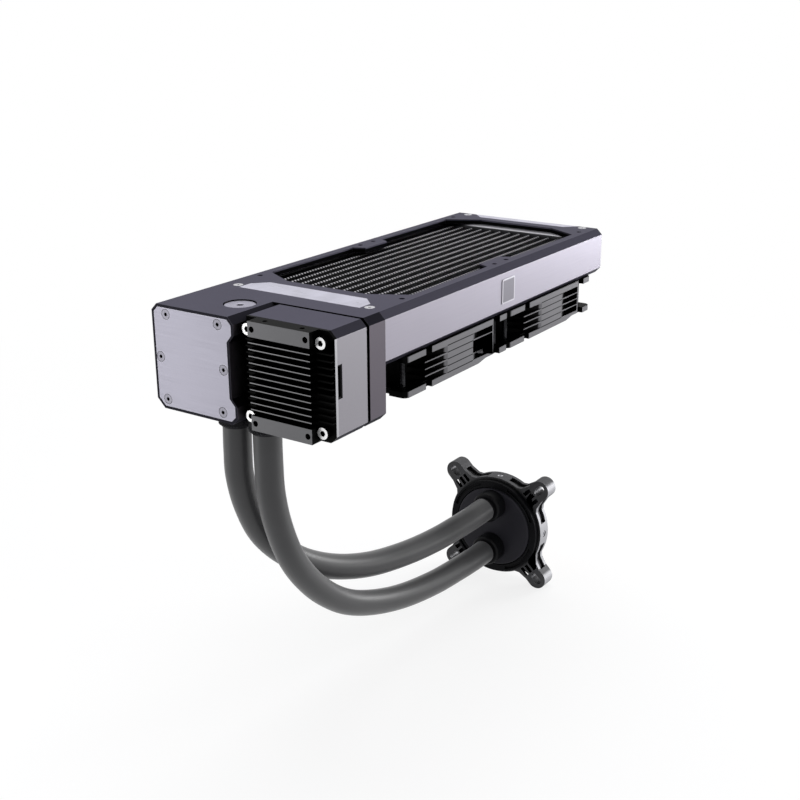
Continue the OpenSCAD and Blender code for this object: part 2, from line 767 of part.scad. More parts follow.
module filler_seal() {
    color([0.04, 0.04, 0.04]) translate([fill_x, filler_y, 0]) difference() {
        z_cylinder(-filler_drop, -filler_drop + filler_seal_t, filler_r - 0.5);
        z_cylinder(-filler_drop - over, -filler_drop + over, filler_thread_r + fit);
    }
}

// Outline of the pump unit seen along X, drawn in by i, with bevels on its outer side
module pump_outline(i) {
    k = inset_k * i;
    polygon([[pump_y0 + edge_bevel + k, -i], [pump_y1 - i, -i], [pump_y1 - i, -block_h + i],
        [pump_y0 + edge_bevel + k, -block_h + i], [pump_y0 + i, -block_h + edge_bevel + k],
        [pump_y0 + i, -edge_bevel - k]]);
}

module pump_spacer() {
    color([0.05, 0.05, 0.05]) difference() {
        along_x(pump_x1, manifold_x0) pump_outline(spacer_inset);
        at_pump_screws() x_cylinder(pump_x1 - over, manifold_x0 + over, pump_screw_r + fit);
        translate([0, pump_y, pump_z]) x_cylinder(pump_x1 - over, manifold_x0 + over, volute_r);
    }
}

module pump_housing() {
    color([0.11, 0.11, 0.12]) difference() {
        along_x(pump_x0, pump_x1) pump_outline(0);
        side_recess(-1, pump_x0, pump_x1, block_h);
        box([pump_x0 - over, pump_x0 + socket_l], [-wall_y - over, -wall_y + panel_t + 4],
            [socket_z - socket_h / 2, socket_z + socket_h / 2]);
        at_pump_screws() x_cylinder(pump_x0 - over, pump_x1 + over, pump_screw_r + fit);
        translate([0, pump_y, pump_z]) {
            difference() {
                x_cylinder(pump_x0 - over, pump_x1 - 7, motor_r);
                x_cylinder(pump_x0 + 4, pump_x1, can_r);
            }
            x_cylinder(pump_x0 + 6, pump_x1 + over, well_r);
            x_cylinder(pump_x0 + 5, pump_x0 + 7, pump_shaft_r + fit);
        }
    }
}

module pump_panel() {
    color([0.62, 0.61, 0.66]) difference() {
        box([pump_x0, pump_x1], [-wall_y, -wall_y + panel_t], [-block_h + edge_bevel, -edge_bevel]);
        box([pump_x0 - over, pump_x0 + socket_l], [-wall_y - over, -wall_y + panel_t + over],
            [socket_z - socket_h / 2, socket_z + socket_h / 2]);
    }
}

// Cable socket in the side of the pump housing, open towards the side
module pump_socket() {
    color([0.03, 0.03, 0.03]) difference() {
        box([pump_x0, pump_x0 + socket_l], [-wall_y + 0.6, -wall_y + panel_t + 4],
            [socket_z - socket_h / 2, socket_z + socket_h / 2]);
        box([pump_x0 + 0.8, pump_x0 + socket_l - 0.8], [-wall_y - over, -wall_y + panel_t + 2.8],
            [socket_z - socket_h / 2 + 1, socket_z + socket_h / 2 - 1]);
    }
}

// Heatsink: a base with two drilled strips and a row of fins between them
module pump_heatsink() {
    y_mid = [sink_y - sink_w / 2, sink_y + sink_w / 2];
    y_side = [pump_y0 + 0.5, pump_y1 - 1];
    fins_h = (sink_fin_count - 1) * sink_fin_pitch;
    color([0.16, 0.16, 0.17]) difference() {
        union() {
            along_x(sink_x0, pump_x0) pump_outline(0);
            box([strip_x0, sink_x0], y_mid, [-strip_h, 0]);
            box([strip_x0, sink_x0], y_mid, [-block_h, -block_h + strip_h]);
            for (i = [0:sink_fin_count - 1]) {
                z = pump_z - fins_h / 2 + i * sink_fin_pitch;
                box([strip_x0, sink_x0], y_mid, [z - sink_fin_t / 2, z + sink_fin_t / 2]);
                box([sink_x0 - sink_side_reach, sink_x0], y_side, [z - sink_fin_t / 2, z + sink_fin_t / 2]);
            }
        }
        at_pump_screws() x_cylinder(sink_x0 - over, pump_x0 + over, pump_screw_r + fit);
        at_pump_screws() x_cylinder(strip_x0 - over, sink_x0, pump_head_r + 0.3);
        for (side = [-1, 1], z = [-strip_h / 2, -block_h + strip_h / 2])
            translate([0, sink_y + side * strip_hole_pitch / 2, z])
                x_cylinder(strip_x0 - over, strip_x0 + 6, strip_hole_r);
        for (side = [-1, 1])
            translate([strip_x0 + 5, sink_y + side * edge_hole_pitch / 2, 0])
                z_cylinder(-6, over, strip_hole_r - 0.2);
    }
}

module pump_screws() {
    color([0.85, 0.85, 0.87]) at_pump_screws() difference() {
        union() {
            x_cylinder(sink_x0 - pump_head_l, sink_x0, pump_head_r);
            x_cylinder(sink_x0, manifold_x0 + pump_screw_bite, pump_screw_r);
        }
        along_x(sink_x0 - pump_head_l - over, sink_x0 - 0.8) hex_key(3);
    }
}

module pump_stator() {
    color([0.60, 0.36, 0.20]) translate([0, pump_y, pump_z]) difference() {
        x_cylinder(stator_x0, stator_x1, motor_r - 0.3);
        x_cylinder(pump_x0, pump_x1, can_r + 0.3);
        for (a = [0:60:300]) rotate([a, 0, 0])
            box([pump_x0, pump_x1], [can_r - over, motor_r - 3], [-0.8, 0.8]);
    }
}

module pump_board() {
    color([0.10, 0.25, 0.16]) translate([0, pump_y, pump_z])
        x_cylinder(board_x0, stator_x0, motor_r - 0.3);
}

module pump_shaft() {
    color([0.8, 0.8, 0.82]) translate([0, pump_y, pump_z])
        x_cylinder(pump_x0 + 5, manifold_x0 + volute_l + 2, pump_shaft_r);
}

// Impeller: a magnet sleeve, a disc and curved vanes, running on the shaft
module pump_impeller() {
    vane_r = impeller_r * 0.62;
    color([0.85, 0.85, 0.82]) translate([0, pump_y, pump_z]) difference() {
        union() {
            x_cylinder(pump_x0 + 6 + wet_gap, impeller_x, rotor_r);
            x_cylinder(impeller_x, impeller_x + 2, impeller_r);
            x_cylinder(impeller_x, manifold_x0 + volute_l - wet_gap, pump_shaft_r + 1.6);
            along_x(impeller_x + 2, manifold_x0 + volute_l - wet_gap) intersection() {
                circle(r = impeller_r - 0.3);
                for (i = [0:vane_count - 1]) rotate(i * 360 / vane_count)
                    translate([0, vane_r + 0.8]) difference() {
                        circle(r = vane_r);
                        circle(r = vane_r - 1.1);
                        translate([-2 * vane_r, -2 * vane_r]) square([2 * vane_r, 4 * vane_r]);
                    }
            }
        }
        x_cylinder(pump_x0, manifold_x1, pump_shaft_r + shaft_gap);
    }
}

module fan_outline() {
    rounded_square(fan_w, fan_w, fan_corner_r);
}

// Cut-outs in the flanges' edges, the same on each of the four sides
module fan_notches() {
    half = fan_w / 2;
    for (a = [0:90:270]) rotate(a) {
        translate([-rib_half + 1.5, -half - over]) square([6.3, notch_d + over]);
        translate([rib_half, -half - over]) square([8, notch_d + over]);
    }
}

module fan_corner_holes(z0, z1, r) {
    for (sx = [-1, 1], sy = [-1, 1]) translate([sx * hole_half, sy * hole_half, 0])
        z_cylinder(z0, z1, r);
}

// Steps under the lower flange's edges, the same on each of the four sides
module fan_steps() {
    half = fan_w / 2;
    for (a = [0:90:270]) rotate(a) along_y(-half - over, -half + notch_d)
        polygon([[rib_half - step_in, fan_z0 - over], [rib_half - step_in, fan_z0],
            [rib_half - step_in + step_run, fan_z0 + flange_step],
            [rib_half + over, fan_z0 + flange_step],
            [rib_half + over, fan_z0 - over]]);
}

// Fan frame: two notched flanges, a barrel with ribbed sides, and struts to the motor
module fan_frame(x) {
    half = fan_w / 2;
    rib_gap = (fan_t - 2 * flange_t) / (rib_count + 1);
    color([0.09, 0.09, 0.10]) translate([x, 0, 0]) {
        difference() {
            union() {
                for (z = [fan_z0, fan_z - flange_t]) translate([0, 0, z]) linear_extrude(flange_t)
                    difference() {
                        fan_outline();
                        fan_notches();
                    }
                translate([0, 0, fan_z0]) linear_extrude(fan_t) intersection() {
                    circle(r = barrel_r, $fn = 128);
                    square(fan_w, center = true);
                }
                for (i = [1:rib_count])
                    translate([0, 0, fan_z0 + flange_t + i * rib_gap - rib_t / 2]) linear_extrude(rib_t) {
                        square([2 * rib_half, fan_w], center = true);
                        square([fan_w, 2 * rib_half], center = true);
                    }
                for (a = [0:90:270]) rotate(a)
                    box([rib_half - post_w, rib_half], [-half, -half + post_d],
                        [fan_z0 + flange_t, fan_z - flange_t]);
            }
            fan_steps();
            z_cylinder(fan_z0 - over, fan_z + over, throat_r, $fn = 128);
            fan_corner_holes(fan_z0 - over, fan_z + over, fan_hole_r);
            fan_corner_holes(fan_z0 - over, fan_z0 + fan_head_l, fan_head_r + 0.2);
        }
        translate([0, 0, fan_z - flange_t]) linear_extrude(flange_t - strut_drop) difference() {
            for (a = [45:90:315]) rotate(a)
                translate([hub_r - 1, -strut_w / 2]) square([throat_r - hub_r + 1.5, strut_w]);
            circle(r = hub_r);
        }
    }
}

// Fixed part of the fan's motor: base disc, bearing tube and coils
module fan_motor(x) {
    inner_r = hub_r - hub_wall;
    color([0.13, 0.13, 0.14]) translate([x, 0, 0]) difference() {
        union() {
            z_cylinder(fan_z - flange_t, fan_z - strut_drop, hub_r);
            z_cylinder(rotor_z0 + hub_wall + 1, fan_z - flange_t, 4);
            z_cylinder(rotor_z0 + hub_wall + 3, rotor_z1 - 1, inner_r - 1);
        }
        z_cylinder(fan_z0, shaft_z1 + 0.2, fan_shaft_r + shaft_gap);
    }
}

// A blade's section at radius r: its chord, angle and camber change from hub to tip
function blade_mix(r, a, b) = a + (b - a) * (r - hub_r) / (blade_r - hub_r);
function blade_point(r, u, top) = let(
    chord = blade_mix(r, root_chord, tip_chord),
    angle = blade_mix(r, root_angle, tip_angle),
    edge = 1 - 4 * u * u,
    lift = 0.10 * chord * edge + (top ? 1 : -1) * blade_t * (0.2 + 0.3 * edge),
    along = u * chord * cos(angle) - lift * sin(angle),
    z = u * chord * sin(angle) + lift * cos(angle),
    turn = along / r * 180 / PI + 14 * (r - hub_r) / (blade_r - hub_r)
) [r * cos(turn), r * sin(turn), z];

module blade() {
    stations = 5;
    cuts = 6;
    r0 = hub_r - hub_sink;
    loop = 2 * cuts + 2;
    points = [for (i = [0:stations]) let(r = r0 + (blade_r - r0) * i / stations)
        each concat([for (j = [0:cuts]) blade_point(r, j / cuts - 0.5, true)],
            [for (j = [cuts:-1:0]) blade_point(r, j / cuts - 0.5, false)])];
    sides = [for (i = [0:stations - 1], j = [0:loop - 1]) let(
        a = i * loop + j, b = i * loop + (j + 1) % loop)
        each [[a, b, b + loop], [a, b + loop, a + loop]]];
    end = stations * loop;
    root = [for (j = [0:cuts - 1]) each [[j, loop - 1 - j, j + 1], [j + 1, loop - 1 - j, loop - 2 - j]]];
    tip = [for (f = root) [f[2] + end, f[1] + end, f[0] + end]];
    polyhedron(points, concat(sides, root, tip), convexity = 4);
}

// Rotor: a cup-shaped hub with blades, open towards the motor
module fan_rotor(x) {
    color([0.10, 0.10, 0.11]) translate([x, 0, 0]) difference() {
        union() {
            z_cylinder(rotor_z0, rotor_z1, hub_r);
            for (i = [0:blade_count - 1]) rotate(i * 360 / blade_count)
                translate([0, 0, (rotor_z0 + rotor_z1) / 2 - 1]) blade();
        }
        z_cylinder(rotor_z0 + hub_wall, rotor_z1 + over, hub_r - hub_wall);
        z_cylinder(rotor_z0 + 1, rotor_z1, fan_shaft_r);
    }
}

module fan_shaft(x) {
    color([0.8, 0.8, 0.82]) translate([x, 0, 0]) z_cylinder(rotor_z0 + 1, shaft_z1, fan_shaft_r);
}

module fan_near_frame() { fan_frame(-fan_x); }
module fan_near_motor() { fan_motor(-fan_x); }
module fan_near_rotor() { fan_rotor(-fan_x); }
module fan_near_shaft() { fan_shaft(-fan_x); }
module fan_far_frame() { fan_frame(fan_x); }
module fan_far_motor() { fan_motor(fan_x); }
module fan_far_rotor() { fan_rotor(fan_x); }
module fan_far_shaft() { fan_shaft(fan_x); }

module fan_screws() {
    color([0.25, 0.25, 0.27]) at_bolts(bolt_xs) difference() {
        union() {
            z_cylinder(fan_z0, fan_z0 + fan_head_l, fan_head_r);
            z_cylinder(fan_z0 + fan_head_l, fan_z + floor_t, fan_screw_r);
        }
        translate([0, 0, fan_z0 - over]) linear_extrude(over + 1.2) hex_key(2.5);
    }
}

// Threaded necks in the manifold, and the stems that the collars close on
module port_necks() {
    color([0.25, 0.25, 0.27]) at_manifold_ports() {
        z_cylinder(0, neck_l, neck_r);
        z_cylinder(-collar_l, 0, hose_r);
    }
}

// Knurled collar: plain above, ridged below, with a bevelled lower edge
module collar(y) {
    ridge_r = collar_r - 0.1;
    foot_r = ridge_r - knurl_d - 0.1;
    color([0.10, 0.10, 0.11]) translate([port_x, y, port_z]) difference() {
        union() {
            z_cylinder(-collar_band_l, 0, collar_r);
            translate([0, 0, -collar_l + collar_foot]) linear_extrude(collar_l - collar_band_l - collar_foot)
                polygon([for (i = [0:2 * knurl_count - 1]) let(r = ridge_r - (i % 2) * knurl_d)
                    [r * cos(i * 180 / knurl_count), r * sin(i * 180 / knurl_count)]]);
            z_cylinder(-collar_l, -collar_l + collar_foot, foot_r - 1, foot_r);
        }
        z_cylinder(-collar_l - over, over, hose_r + fit);
    }
}

module collar_outer() { collar(outer_port_y); }
module collar_inner() { collar(inner_port_y); }

// Smooth curve through the route's points
function ghost(p) = concat([2 * p[0] - p[1]], p, [2 * p[len(p) - 1] - p[len(p) - 2]]);
function curve_at(a, b, c, d, t) = 0.5 * (2 * b + (c - a) * t + (2 * a - 5 * b + 4 * c - d) * t * t
    + (3 * b - a - 3 * c + d) * t * t * t);
function smooth(p) = let(q = ghost(p)) concat(
    [for (i = [1:len(p) - 1], s = [0:hose_steps - 1])
        curve_at(q[i - 1], q[i], q[i + 1], q[i + 2], s / hose_steps)], [p[len(p) - 1]]);
function unit(v) = v / norm(v);
function heading(p, i, first, last) = i == 0 ? first : i == len(p) - 1 ? last : unit(p[i + 1] - p[i - 1]);

// Sweeps a round section along a route; the end faces stand square to first and last
module sweep(route, r, first, last) {
    p = smooth(route);
    n = hose_sides;
    points = [for (i = [0:len(p) - 1]) let(
        t = heading(p, i, first, last),
        side = unit(cross(t, [0, 1, 0])),
        lift = cross(side, t))
        each [for (j = [0:n - 1]) p[i] + r * (cos(j * 360 / n) * side + sin(j * 360 / n) * lift)]];
    walls = [for (i = [0:len(p) - 2], j = [0:n - 1]) let(
        a = i * n + j, b = i * n + (j + 1) % n)
        each [[a, b, b + n], [a, b + n, a + n]]];
    end = (len(p) - 1) * n;
    polyhedron(points, concat(walls, [[for (j = [n - 1:-1:0]) j]], [[for (j = [0:n - 1]) end + j]]),
        convexity = 10);
}

module hose_outer() {
    color([0.12, 0.12, 0.13]) sweep(outer_route, hose_r, [0, 0, -1], [1, 0, 0]);
}

module hose_inner() {
    color([0.12, 0.12, 0.13]) sweep(inner_route, hose_r, [0, 0, -1], [1, 0, 0]);
}

module at_block() {
    translate([0, block_y, block_z]) children();
}

// Straight ports on the cap, each with a narrow neck where the hose ends
module block_ports() {
    color([0.10, 0.10, 0.11]) at_block() for (side = [-1, 1])
        translate([0, 0, port_rise + side * port_pitch / 2]) {
            x_cylinder(port_x0, port_x0 + 1.5, hose_r - 1);
            x_cylinder(port_x0 + 1.5, port_x0 + 2.5, port_r - 1, port_r);
            x_cylinder(port_x0 + 2.5, cap_x0, port_r);
        }
}

// Cap: a low disc with a rounded edge
module block_cap() {
    color([0.13, 0.13, 0.14]) at_block() translate([cap_x0, 0, 0]) rotate([0, 90, 0])
        rotate_extrude($fn = 128) {
            square([cap_r - cap_round, cap_stand]);
            translate([0, cap_round]) square([cap_r, cap_stand - cap_round]);
            translate([cap_r - cap_round, cap_round]) circle(r = cap_round);
        }
}

// Four curved slots in the clamp ring, between the arms
module ring_slots() {
    slot_r0 = cap_r + cap_gap + ring_slot_wall;
    slot_r1 = clamp_r - ring_slot_wall;
    for (a = [45:90:315]) rotate(a) intersection() {
        difference() {
            circle(r = slot_r1);
            circle(r = slot_r0);
        }
        polygon([[0, 0], 2 * clamp_r * [cos(ring_slot_half), -sin(ring_slot_half)],
            2 * clamp_r * [cos(ring_slot_half), sin(ring_slot_half)]]);
    }
}

module clamp_ring() {
    color([0.11, 0.11, 0.12]) at_block() difference() {
        x_cylinder(block_x - clamp_stand, block_x, clamp_r, $fn = 128);
        x_cylinder(block_x - clamp_stand - over, block_x + over, cap_r + cap_gap, $fn = 128);
        along_x(block_x - clamp_stand - over, block_x - clamp_stand + 2) ring_slots();
    }
}

// Closed body between the cap and the cold plate
module block_body() {
    color([0.08, 0.08, 0.09]) at_block() difference() {
        x_cylinder(block_x, plate_x0, bracket_bore_r - 0.1, $fn = 128);
        at_plate_screws() x_cylinder(plate_x0 - 5, plate_x0 + over, 1.25 + fit);
    }
}

// Outline of the bracket seen along X, drawn in by i: a ring with four flared arms
module bracket_outline(i) {
    reach = hole_ring_r;
    circle(r = bracket_r - i, $fn = 128);
    for (a = [45:90:315]) rotate(a) {
        translate([reach, 0]) circle(r = arm_r - i);
        polygon([[0, -arm_r + i], [reach, -arm_r + i], [reach, arm_r - i], [0, arm_r - i]]);
        polygon([[bracket_r - 6, -arm_r - 8 + i], [bracket_r + 1, -arm_r - 1.8 + i],
            [bracket_r + 8, -arm_r + i], [bracket_r + 8, arm_r - i],
            [bracket_r + 1, arm_r + 1.8 - i], [bracket_r - 6, arm_r + 8 - i]]);
    }
}

module bracket_slots() {
    run = slot_l - slot_w;
    for (a = [45:90:315]) rotate(a) translate([hole_ring_r, 0]) {
        square([run, slot_w], center = true);
        for (side = [-1, 1]) translate([side * run / 2, 0]) circle(r = slot_w / 2);
    }
}

// Shallow pockets on each arm, with two bars left standing between them
module bracket_pockets() {
    x0 = bracket_r - 0.5;
    x1 = hole_ring_r - slot_l / 2 - 1.5;
    w = (2 * arm_r - 4 * 1.5) / 3;
    for (a = [45:90:315], i = [-1:1]) rotate(a)
        translate([x0, i * (w + 1.5) - w / 2]) square([x1 - x0, w]);
}

// Windows in the bracket's edge: beside each arm, but not at the tip or at the screw pads
module bracket_edge_slots() {
    reach = 2 * bracket_r;
    difference() {
        bracket_outline(-over);
        bracket_outline(edge_slot_d);
        for (a = [45:90:315]) rotate(a)
            translate([hole_ring_r - slot_l / 2 + 1, -bracket_r]) square([bracket_r, 2 * bracket_r]);
        for (a = [0:90:270]) rotate(a)
            polygon([[0, 0], reach * [cos(pad_half), -sin(pad_half)],
                reach * [cos(pad_half), sin(pad_half)]]);
    }
}

module at_pad_screws() {
    for (a = [0:90:270]) rotate([a, 0, 0]) translate([block_x + bracket_t / 2, 0, 0]) children();
}

module bracket() {
    color([0.14, 0.14, 0.15]) at_block() difference() {
        along_x(block_x, bracket_x1) bracket_outline(0);
        x_cylinder(block_x - over, bracket_x1 + over, bracket_bore_r, $fn = 128);
        along_x(block_x - over, bracket_x1 + over) bracket_slots();
        along_x(block_x - over, block_x + pocket_d) bracket_pockets();
        along_x(block_x + (bracket_t - edge_slot_h) / 2, block_x + (bracket_t + edge_slot_h) / 2)
            bracket_edge_slots();
        at_pad_screws() {
            y_cylinder(-bracket_r - over, -bracket_bore_r + over, 1.3);
            y_cylinder(-bracket_r - over, -bracket_r + 1.5, 2.4);
        }
    }
}

module bracket_screws() {
    color([0.8, 0.8, 0.82]) at_block() at_pad_screws() difference() {
        union() {
            y_cylinder(-bracket_r + 0.4, -bracket_r + 1.5, 2.2);
            y_cylinder(-bracket_r + 1.5, -bracket_bore_r, 1.25);
        }
        translate([0, -bracket_r, 0]) rotate([-90, 0, 0]) linear_extrude(1) hex_key(1.8);
    }
}

module at_plate_screws() {
    pitch = plate_w / 2 - plate_hole_edge;
    for (sy = [-1, 1], sz = [-1, 1]) translate([0, sy * pitch, sz * pitch]) children();
}

module cold_plate() {
    color([0.78, 0.45, 0.30]) at_block() difference() {
        along_x(plate_x0, plate_x0 + plate_t) rounded_square(plate_w, plate_w, plate_corner_r);
        at_plate_screws() {
            x_cylinder(plate_x0 - over, plate_x0 + plate_t + over, 1.25 + fit);
            x_cylinder(plate_x0 + plate_t - 1.5, plate_x0 + plate_t + over, 2.5);
        }
    }
}

module plate_screws() {
    color([0.7, 0.7, 0.72]) at_block() at_plate_screws() difference() {
        union() {
            x_cylinder(plate_x0 + plate_t - 1.5, plate_x0 + plate_t - 0.4, 2.3);
            x_cylinder(plate_x0 - 4, plate_x0 + plate_t - 1.5, 1.25);
        }
        along_x(plate_x0 + plate_t - 1.2, plate_x0 + plate_t) hex_key(1.8);
    }
}

casing();
panel_front();
panel_back();
badge_plate();
near_tank();
far_tank();
core_tubes();
core_fins();
core_plates();
accent_near();
accent_far();
accent_screws();
manifold();
cover_seal();
cover_plate();
cover_screws();
filler_plug();
filler_seal();
pump_spacer();
pump_housing();
pump_panel();
pump_socket();
pump_heatsink();
pump_screws();
pump_stator();
pump_board();
pump_shaft();
pump_impeller();
fan_near_frame();
fan_near_motor();
fan_near_rotor();
fan_near_shaft();
fan_far_frame();
fan_far_motor();
fan_far_rotor();
fan_far_shaft();
fan_screws();
port_necks();
collar_outer();
collar_inner();
hose_outer();
hose_inner();
block_ports();
block_cap();
clamp_ring();
block_body();
bracket();
bracket_screws();
cold_plate();
plate_screws();
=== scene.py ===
"""Looks for a closed-loop liquid cooler: radiator, fans, reservoir, pump, hoses and water block.
Lengths are in metres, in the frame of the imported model, except where MM is applied to them."""

import math

import bpy
from mathutils import Matrix, Vector


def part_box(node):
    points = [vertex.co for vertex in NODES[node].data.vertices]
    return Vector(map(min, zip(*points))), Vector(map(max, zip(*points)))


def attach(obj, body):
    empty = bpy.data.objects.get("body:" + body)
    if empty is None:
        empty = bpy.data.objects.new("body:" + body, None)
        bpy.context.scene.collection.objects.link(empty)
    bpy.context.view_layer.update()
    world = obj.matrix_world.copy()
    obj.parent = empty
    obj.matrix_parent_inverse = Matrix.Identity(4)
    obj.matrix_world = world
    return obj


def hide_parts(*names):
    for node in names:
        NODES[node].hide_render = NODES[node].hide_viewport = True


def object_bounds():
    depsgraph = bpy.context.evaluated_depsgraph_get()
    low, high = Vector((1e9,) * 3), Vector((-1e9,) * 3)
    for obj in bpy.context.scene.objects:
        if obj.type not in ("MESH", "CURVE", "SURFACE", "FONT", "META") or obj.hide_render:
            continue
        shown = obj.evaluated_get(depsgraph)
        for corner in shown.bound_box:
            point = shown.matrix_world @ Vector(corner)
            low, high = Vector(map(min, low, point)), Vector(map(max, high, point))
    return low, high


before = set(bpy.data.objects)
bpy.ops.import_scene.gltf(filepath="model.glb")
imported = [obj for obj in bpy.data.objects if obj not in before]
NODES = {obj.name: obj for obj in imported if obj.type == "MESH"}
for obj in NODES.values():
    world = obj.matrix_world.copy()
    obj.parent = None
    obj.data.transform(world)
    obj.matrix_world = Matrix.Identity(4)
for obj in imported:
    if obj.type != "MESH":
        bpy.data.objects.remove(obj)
CAD_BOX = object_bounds()
MM = 0.001

# Shader helpers


def new_material(name):
    mat = bpy.data.materials.new(name)
    mat.use_nodes = True
    tree = mat.node_tree
    tree.nodes.clear()
    out = tree.nodes.new("ShaderNodeOutputMaterial")
    shader = tree.nodes.new("ShaderNodeBsdfPrincipled")
    tree.links.new(shader.outputs["BSDF"], out.inputs["Surface"])
    return mat, tree, shader


def noise(tree, scale, detail=3.0, rough=0.5, stretch=(1, 1, 1)):
    coord = tree.nodes.new("ShaderNodeTexCoord")
    place = tree.nodes.new("ShaderNodeMapping")
    place.inputs["Scale"].default_value = stretch
    tex = tree.nodes.new("ShaderNodeTexNoise")
    tex.inputs["Scale"].default_value = scale
    tex.inputs["Detail"].default_value = detail
    tex.inputs["Roughness"].default_value = rough
    tree.links.new(coord.outputs["Object"], place.inputs["Vector"])
    tree.links.new(place.outputs["Vector"], tex.inputs["Vector"])
    return tex.outputs["Fac"]


def ramp(tree, value, start, end, low=0.0, high=1.0):
    """Goes from low, where the value is start, to high, where it is end, and no further."""
    node = tree.nodes.new("ShaderNodeMapRange")
    node.inputs["From Min"].default_value = start
    node.inputs["From Max"].default_value = end
    node.inputs["To Min"].default_value = low
    node.inputs["To Max"].default_value = high
    tree.links.new(value, node.inputs["Value"])
    return node.outputs["Result"]


def calc(tree, operation, a, b=0.0):
    node = tree.nodes.new("ShaderNodeMath")
    node.operation = operation
    for socket, value in zip(node.inputs, (a, b)):
        if isinstance(value, (int, float)):
            socket.default_value = value
        else:
            tree.links.new(value, socket)
    return node.outputs["Value"]


def every(tree, *masks):
    """All of the masks at once."""
    result = masks[0]
    for mask in masks[1:]:
        result = calc(tree, "MULTIPLY", result, mask)
    return result


def wave(tree, value, pitch, operation="COSINE"):
    """Goes up and down once in each pitch of the value."""
    return calc(tree, operation, calc(tree, "MULTIPLY", value, 2 * math.pi / pitch))


def off_centre(tree, value, centre):
    """Distance from the centre, on either side."""
    return calc(tree, "ABSOLUTE", calc(tree, "SUBTRACT", value, centre))


def mixed(tree, factor, a, b):
    mix = tree.nodes.new("ShaderNodeMix")
    mix.data_type = "RGBA"
    for name, value in (("A", a), ("B", b)):
        if isinstance(value, tuple):
            mix.inputs[name].default_value = (*value, 1)
        else:
            tree.links.new(value, mix.inputs[name])
    tree.links.new(factor, mix.inputs["Factor"])
    return mix.outputs["Result"]


def plain(tree, color):
    node = tree.nodes.new("ShaderNodeRGB")
    node.outputs["Color"].default_value = (*color, 1)
    return node.outputs["Color"]


def separate(tree, vector):
    parts = tree.nodes.new("ShaderNodeSeparateXYZ")
    tree.links.new(vector, parts.inputs[0])
    return parts.outputs


def place_of(tree):
    """Place on the object, in its own axes."""
    return separate(tree, tree.nodes.new("ShaderNodeTexCoord").outputs["Object"])


def face_of(tree):
    """Direction that the flat face points in."""
    return separate(tree, tree.nodes.new("ShaderNodeNewGeometry").outputs["True Normal"])


def lengths(tree, parts):
    return [calc(tree, "ABSOLUTE", part) for part in parts]


EDGE_TURN = (0.98, 0.75)     # cosine of a rounded normal's turn, where an edge starts and is full


def edge_mask(tree, radius):
    """1 on sharp edges and 0 on flat stretches, from how far a rounded normal turns."""
    bevel = tree.nodes.new("ShaderNodeBevel")
    bevel.samples = 4
    bevel.inputs["Radius"].default_value = radius
    geometry = tree.nodes.new("ShaderNodeNewGeometry")
    dot = tree.nodes.new("ShaderNodeVectorMath")
    dot.operation = "DOT_PRODUCT"
    tree.links.new(bevel.outputs["Normal"], dot.inputs[0])
    tree.links.new(geometry.outputs["Normal"], dot.inputs[1])
    return ramp(tree, dot.outputs["Value"], *EDGE_TURN)


def sheltered(tree, distance, start, end):
    """0 where the share of open view is start or more, as in the open, and 1 where it is end or
    less, as deep in gaps, recesses and corners."""
    shelter = tree.nodes.new("ShaderNodeAmbientOcclusion")
    shelter.samples = 6
    shelter.inputs["Distance"].default_value = distance
    return ramp(tree, shelter.outputs["AO"], start, end)


FINISH = {}
NOISE_SPAN = (0.25, 0.75)    # the part of a noise's range that is used
WEAR_GRAIN = 90.0
# Near-black colour of the painted shade deep in gaps
GAP_SHADE_COLOR = (0.0015, 0.0015, 0.002)


def surface(name, color, metal=0.0, rough=(0.4, 0.5), vary=0.06, grain=2500.0, bump=0.02,
            depth=0.00002, stretch=(1, 1, 1), wear_and_highlight=None, wear_and_highlight_radius=0.0004, specular=0.5,
            edge_tint=None, coat=0.0, broad=18.0, tones=None, gap_shade=None, sheen=0.0):
    """Adds a finish with fine grain in bump and roughness, broad colour variation and lighter worn
    edges, which are also painted edge highlights.
    tones changes the colour by place or by face, often as painted light and shade, and the colour
    deep in gaps is darkened as painted shade."""
    mat, tree, shader = new_material(name)
    shader.inputs["Metallic"].default_value = metal
    shader.inputs["Specular IOR Level"].default_value = specular
    shader.inputs["Coat Weight"].default_value = coat
    shader.inputs["Coat Roughness"].default_value = 0.2
    shader.inputs["Sheen Weight"].default_value = sheen
    if edge_tint:
        shader.inputs["Specular Tint"].default_value = (*edge_tint, 1)
    fine = noise(tree, grain, 2.0, 0.6, stretch)
    wide = noise(tree, broad, 4.0, 0.55)
    scaled = tree.nodes.new("ShaderNodeVectorMath")
    scaled.operation = "SCALE"
    tree.links.new((tones or plain)(tree, color), scaled.inputs[0])
    tree.links.new(ramp(tree, wide, *NOISE_SPAN, 1 - vary, 1 + vary), scaled.inputs["Scale"])
    tint = scaled.outputs["Vector"]
    # Lighter worn edges, which also serve as painted edge highlights.
    if wear_and_highlight:
        wear = ramp(tree, noise(tree, WEAR_GRAIN, 4.0, 0.6), *NOISE_SPAN, 0.25, 1.0)
        tint = mixed(tree, every(tree, edge_mask(tree, wear_and_highlight_radius), wear), tint, wear_and_highlight)
    # Painted shade: the colour turns near black deep in gaps, recesses and corners.
    if gap_shade:
        tint = mixed(tree, sheltered(tree, *gap_shade), tint, GAP_SHADE_COLOR)
    tree.links.new(tint, shader.inputs["Base Color"])
    tree.links.new(ramp(tree, fine, *NOISE_SPAN, *rough), shader.inputs["Roughness"])
    relief = tree.nodes.new("ShaderNodeBump")
    relief.inputs["Strength"].default_value = bump
    relief.inputs["Distance"].default_value = depth
    tree.links.new(fine, relief.inputs["Height"])
    tree.links.new(relief.outputs["Normal"], shader.inputs["Normal"])
    FINISH[name] = mat


